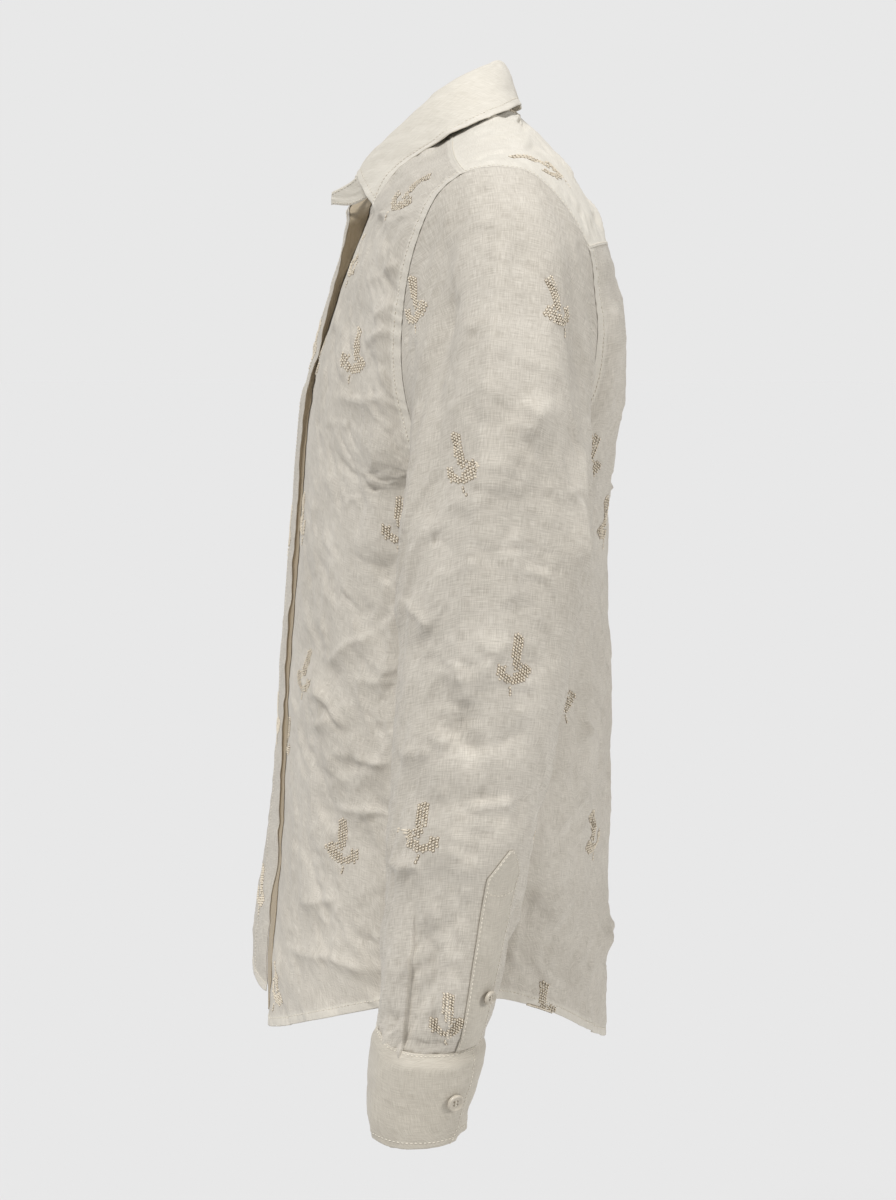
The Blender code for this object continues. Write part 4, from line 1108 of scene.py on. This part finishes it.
for name, halves, high in (("collar_stand", stand_points, .031), ("collar_leaf", leaf_points, .062)):
    left, right = halves(False), halves(True)
    small = np.concatenate([(right * flip)[:, :0:-1], left], axis=1)
    grid = refined(small, spaced(high, .0005, .002, .006), spaced(.40, .0005, .0024, .006))
    across_here, down_here = measures(grid)
    dists = [down_here[-1:] - down_here] if high > .05 else [down_here]
    dists += [across_here, across_here[:, -1:] - across_here]
    sign = 1.0 if float((normals(grid) * (grid - np.array((0, 0, -.05)))).sum()) > 0 else -1.0
    dent = -.0003 * sum(np.exp(-((d - .0055) / .0007) ** 2) for d in dists)
    grid = worn(grid, False, dent + rumple(across_here, down_here, 83) * .45, sign)
    panels[name] = Panel(name, grid, (0, 0, -.05))
    # The collar takes the paler cloth, partly painted top light.
    double(panels[name], [DOUBLE_LINEN_PAINTED_TOP_LIGHT])

# The inner button stand, a strip behind the right front's edge.
edge = panels["front_right"]
rows = np.arange(8, edge.grid.shape[0] - 60)
places = edge.line("start", 0)[0][rows]
strip_at = np.linspace(.0070, .028, 14)
cols = np.array([[np.interp(d, edge.across[r], np.arange(edge.grid.shape[1])) for d in strip_at]
                 for r in rows])
points, out = edge.at(np.repeat(places[:, None], len(strip_at), 1), cols)
panels["fly_stand"] = Panel("fly_stand", points - out * .0021, (0, .03, -.30))
single(panels["fly_stand"], [LINEN, LINEN_PAINTED_SHADE])

# The facing inside the right front's folded edge, which closes the slot between the fronts. Both its faces
# take the tan painted shade of the slot.
where = np.linspace(10.2, -8.7, 420)
near, far = panels["front_left"], panels["front_right"]
far_row, near_row = (np.interp(-where, -rows_of[n], np.arange(len(rows_of[n])))
                     for n in ("front_right", "front_left"))
fold, fold_out = far.at(far_row, np.zeros(len(where)) + .5)
reach = np.interp(.0225, near.across[40], np.arange(near.grid.shape[1]))
meet, meet_out = near.at(near_row, np.zeros(len(where)) + reach)
start, end = fold - fold_out * .0010, meet + meet_out * .0009
steps = smooth(np.linspace(0, 1, 12))[:, None]
lean = np.sin(np.pi * steps) * np.array((-.0016, 0, 0))
strip = start[:, None] + (end - start)[:, None] * steps[None] + lean[None]
panels["fly_facing"] = Panel("fly_facing", strip, (-.2, 0, -.3))
single(panels["fly_facing"], [LINEN_PAINTED_SHADE, LINEN_PAINTED_SHADE])

# Buttons: a lathe profile whose top dips at four holes.
def button(name, panel, radius, thick):
    """A round button: rings of points at a height read from a profile of the distance from its
    middle, less a dip at each of its four holes."""
    low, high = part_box(name)
    centre = np.array((low + high) / 2)
    gap = np.linalg.norm(panel.grid - centre, axis=-1)
    r, c = np.unravel_index(np.argmin(gap), gap.shape)
    way = panel.out[r, c]
    up = unit(np.array((0, 0, 1.0)) - way * way[2])
    side = np.cross(up, way)
    away = np.concatenate([np.linspace(0, .97, 22), [1.0, 1.0, .97, .6, 0]])
    turn = np.linspace(0, 2 * np.pi, 72, endpoint=False)
    profile = read([(0, .62), (.45, .64), (.62, .80), (.78, 1.0), (.90, 1.0), (1.0, .72)], away[:22])[:, 0]
    level = np.concatenate([profile, [.62, .3, .08, 0, 0]])
    x, y = away[:, None] * np.cos(turn), away[:, None] * np.sin(turn)
    lift = np.repeat(level[:, None], len(turn), 1)
    for a, b in ((1, 1), (1, -1), (-1, 1), (-1, -1)):
        hole = smooth((.15 - np.hypot(x - a * .19, y - b * .19)) / .07)
        lift[:22] -= .5 * hole[:22]
    base = centre - way * thick / 2
    points = base + (x[..., None] * side + y[..., None] * up) * radius + lift[..., None] * way * thick
    faces, _ = quads(len(away), len(turn), True, False)
    item = mesh_piece(name + "_shaped", points.reshape(-1, 3), faces)
    if item.data.polygons[5].normal @ Vector(way) < 0:
        item.data.flip_normals()
    item.data.materials.append(HORN)
    placed(item, name)
    ends = [(.19, .19, -.19, .19), (.19, -.19, -.19, -.19)]
    start, end = ([base + (side * a + up * b) * radius + way * thick * .58 for a, b in which]
                  for which in ([e[:2] for e in ends], [e[2:] for e in ends]))
    start, end = np.repeat(start, 3, 0), np.repeat(end, 3, 0)
    shift = np.tile([-.00035, 0, .00035], 2)[:, None] * up
    outs = np.broadcast_to(way, start.shape)
    thread_piece(name + "_thread", [beads(start + shift, end + shift, outs, .0005, .0005)],
                 [SEWING_THREAD])


for side in ("left", "right"):
    button("cuff_button_" + side, panels["cuff_" + side], .0056, .0024)
    button("placket_button_" + side, panels["placket_" + side], .0045, .0024)

# Topstitching, one mesh to a panel: along which of its edges, and how far inside each.
SIDES = ("left", "right")
SEWING = {
    "front_left": [("bottom", HEM - .0011), ("finish", FELL - .0011)],
    "front_right": [("bottom", HEM - .0011), ("finish", FELL - .0011), ("start", .0260)],
    "yoke": [("top", .0015), ("bottom", .0015), ("finish", .0015)],
    "back": [("bottom", HEM - .0011), ("finish", FELL - .0011)],
    **{"cuff_" + side: [("top", .0015), ("bottom", .0052), ("finish", .0052)] for side in SIDES},
    **{"placket_" + side: [("start", .0014), ("finish", .0014), ("top", .030)] for side in SIDES},
    "collar_stand": [("top", .0015), ("bottom", .0015)],
    "collar_leaf": [("bottom", .0055), ("start", .0055), ("finish", .0055)],
}
for name, edges in SEWING.items():
    panel = panels[name]
    lines = [panel.line(edge, inset) for edge, inset in edges]
    thread_piece(name + "_stitching", [sewn(panel, lines)], [SEWING_THREAD])

for name, seed in (("front_left", 3), ("front_right", 4), ("back", 5), ("sleeve_left", 6),
                   ("sleeve_right", 7), ("yoke", 8)):
    embroidery(panels[name], sprig_places(panels[name], seed))

# Stage, light and camera
FLOOR_LEVEL, FLOOR_RADIUS = -1.45, 30
SUN_WIDE = 18            # degrees across each sun, which softens its shadows
BACKDROP, SOFT_LIGHT = (.807, .807, .807, 1), (.204, .196, .185, 1)
SUNS = [  # name, power, colour, the way its light goes
    ("key", 2.3, (1, 1, 1), (-.43, .36, -.83)),
    ("top", .6, (.95, .99, 1.06), (-.12, .20, -.97)),
    ("side", 1.3, (1, 1, 1), (-.45, -.80, -.40)),
]
CAMERA_AT, CAMERA_TURN = (1.2968, -.078, -.095), 4
LENS, SENSOR, IMAGE_TALL = 54, 36, 1200
HORIZON_UP = 300         # pixels of the photograph from its middle up to the horizon

ring = np.linspace(0, 2 * np.pi, 97)[:-1]
radii = np.concatenate([[.001], np.linspace(.5, FLOOR_RADIUS, 12)])
floor_points = np.stack([radii[:, None] * np.cos(ring), radii[:, None] * np.sin(ring),
                         np.full((len(radii), len(ring)), FLOOR_LEVEL)], -1)
floor = mesh_piece("floor", floor_points.reshape(-1, 3), quads(len(radii), len(ring), True, False)[0])
floor.data.materials.append(plain("pale_floor", (.70, .70, .70), 1.0, .0, 3.0, .0))
for name, power, colour, way in SUNS:
    sun = bpy.data.lights.new(name, "SUN")
    sun.energy, sun.angle, sun.color = power, math.radians(SUN_WIDE), colour
    lamp = bpy.data.objects.new(name, sun)
    lamp.rotation_mode = "QUATERNION"
    lamp.rotation_quaternion = Vector(way).to_track_quat("-Z", "Y")
    bpy.context.scene.collection.objects.link(lamp)
world = bpy.data.worlds.new("studio")
world.use_nodes = True
tree = world.node_tree
tree.nodes.clear()
seen, soft = tree.nodes.new("ShaderNodeBackground"), tree.nodes.new("ShaderNodeBackground")
seen.inputs[0].default_value = BACKDROP
soft.inputs[0].default_value = SOFT_LIGHT
ray, mix = tree.nodes.new("ShaderNodeLightPath"), tree.nodes.new("ShaderNodeMixShader")
tree.links.new(ray.outputs["Is Camera Ray"], mix.inputs[0])
tree.links.new(soft.outputs[0], mix.inputs[1])
tree.links.new(seen.outputs[0], mix.inputs[2])
tree.links.new(mix.outputs[0], tree.nodes.new("ShaderNodeOutputWorld").inputs[0])
scene = bpy.context.scene
scene.world = world
scene.view_settings.view_transform = "Standard"

turn, dip = math.radians(CAMERA_TURN), math.atan(HORIZON_UP / (LENS / SENSOR * IMAGE_TALL))
ahead = Vector((-math.cos(turn) * math.cos(dip), math.sin(turn) * math.cos(dip), -math.sin(dip)))
camera = bpy.data.cameras.new("camera")
camera.sensor_width = camera.sensor_height = SENSOR
camera.lens, camera.clip_start = LENS, .01
watcher = bpy.data.objects.new("camera", camera)
watcher.location = CAMERA_AT
watcher.rotation_mode = "QUATERNION"
watcher.rotation_quaternion = ahead.to_track_quat("-Z", "Y")
scene.collection.objects.link(watcher)
scene.camera = watcher
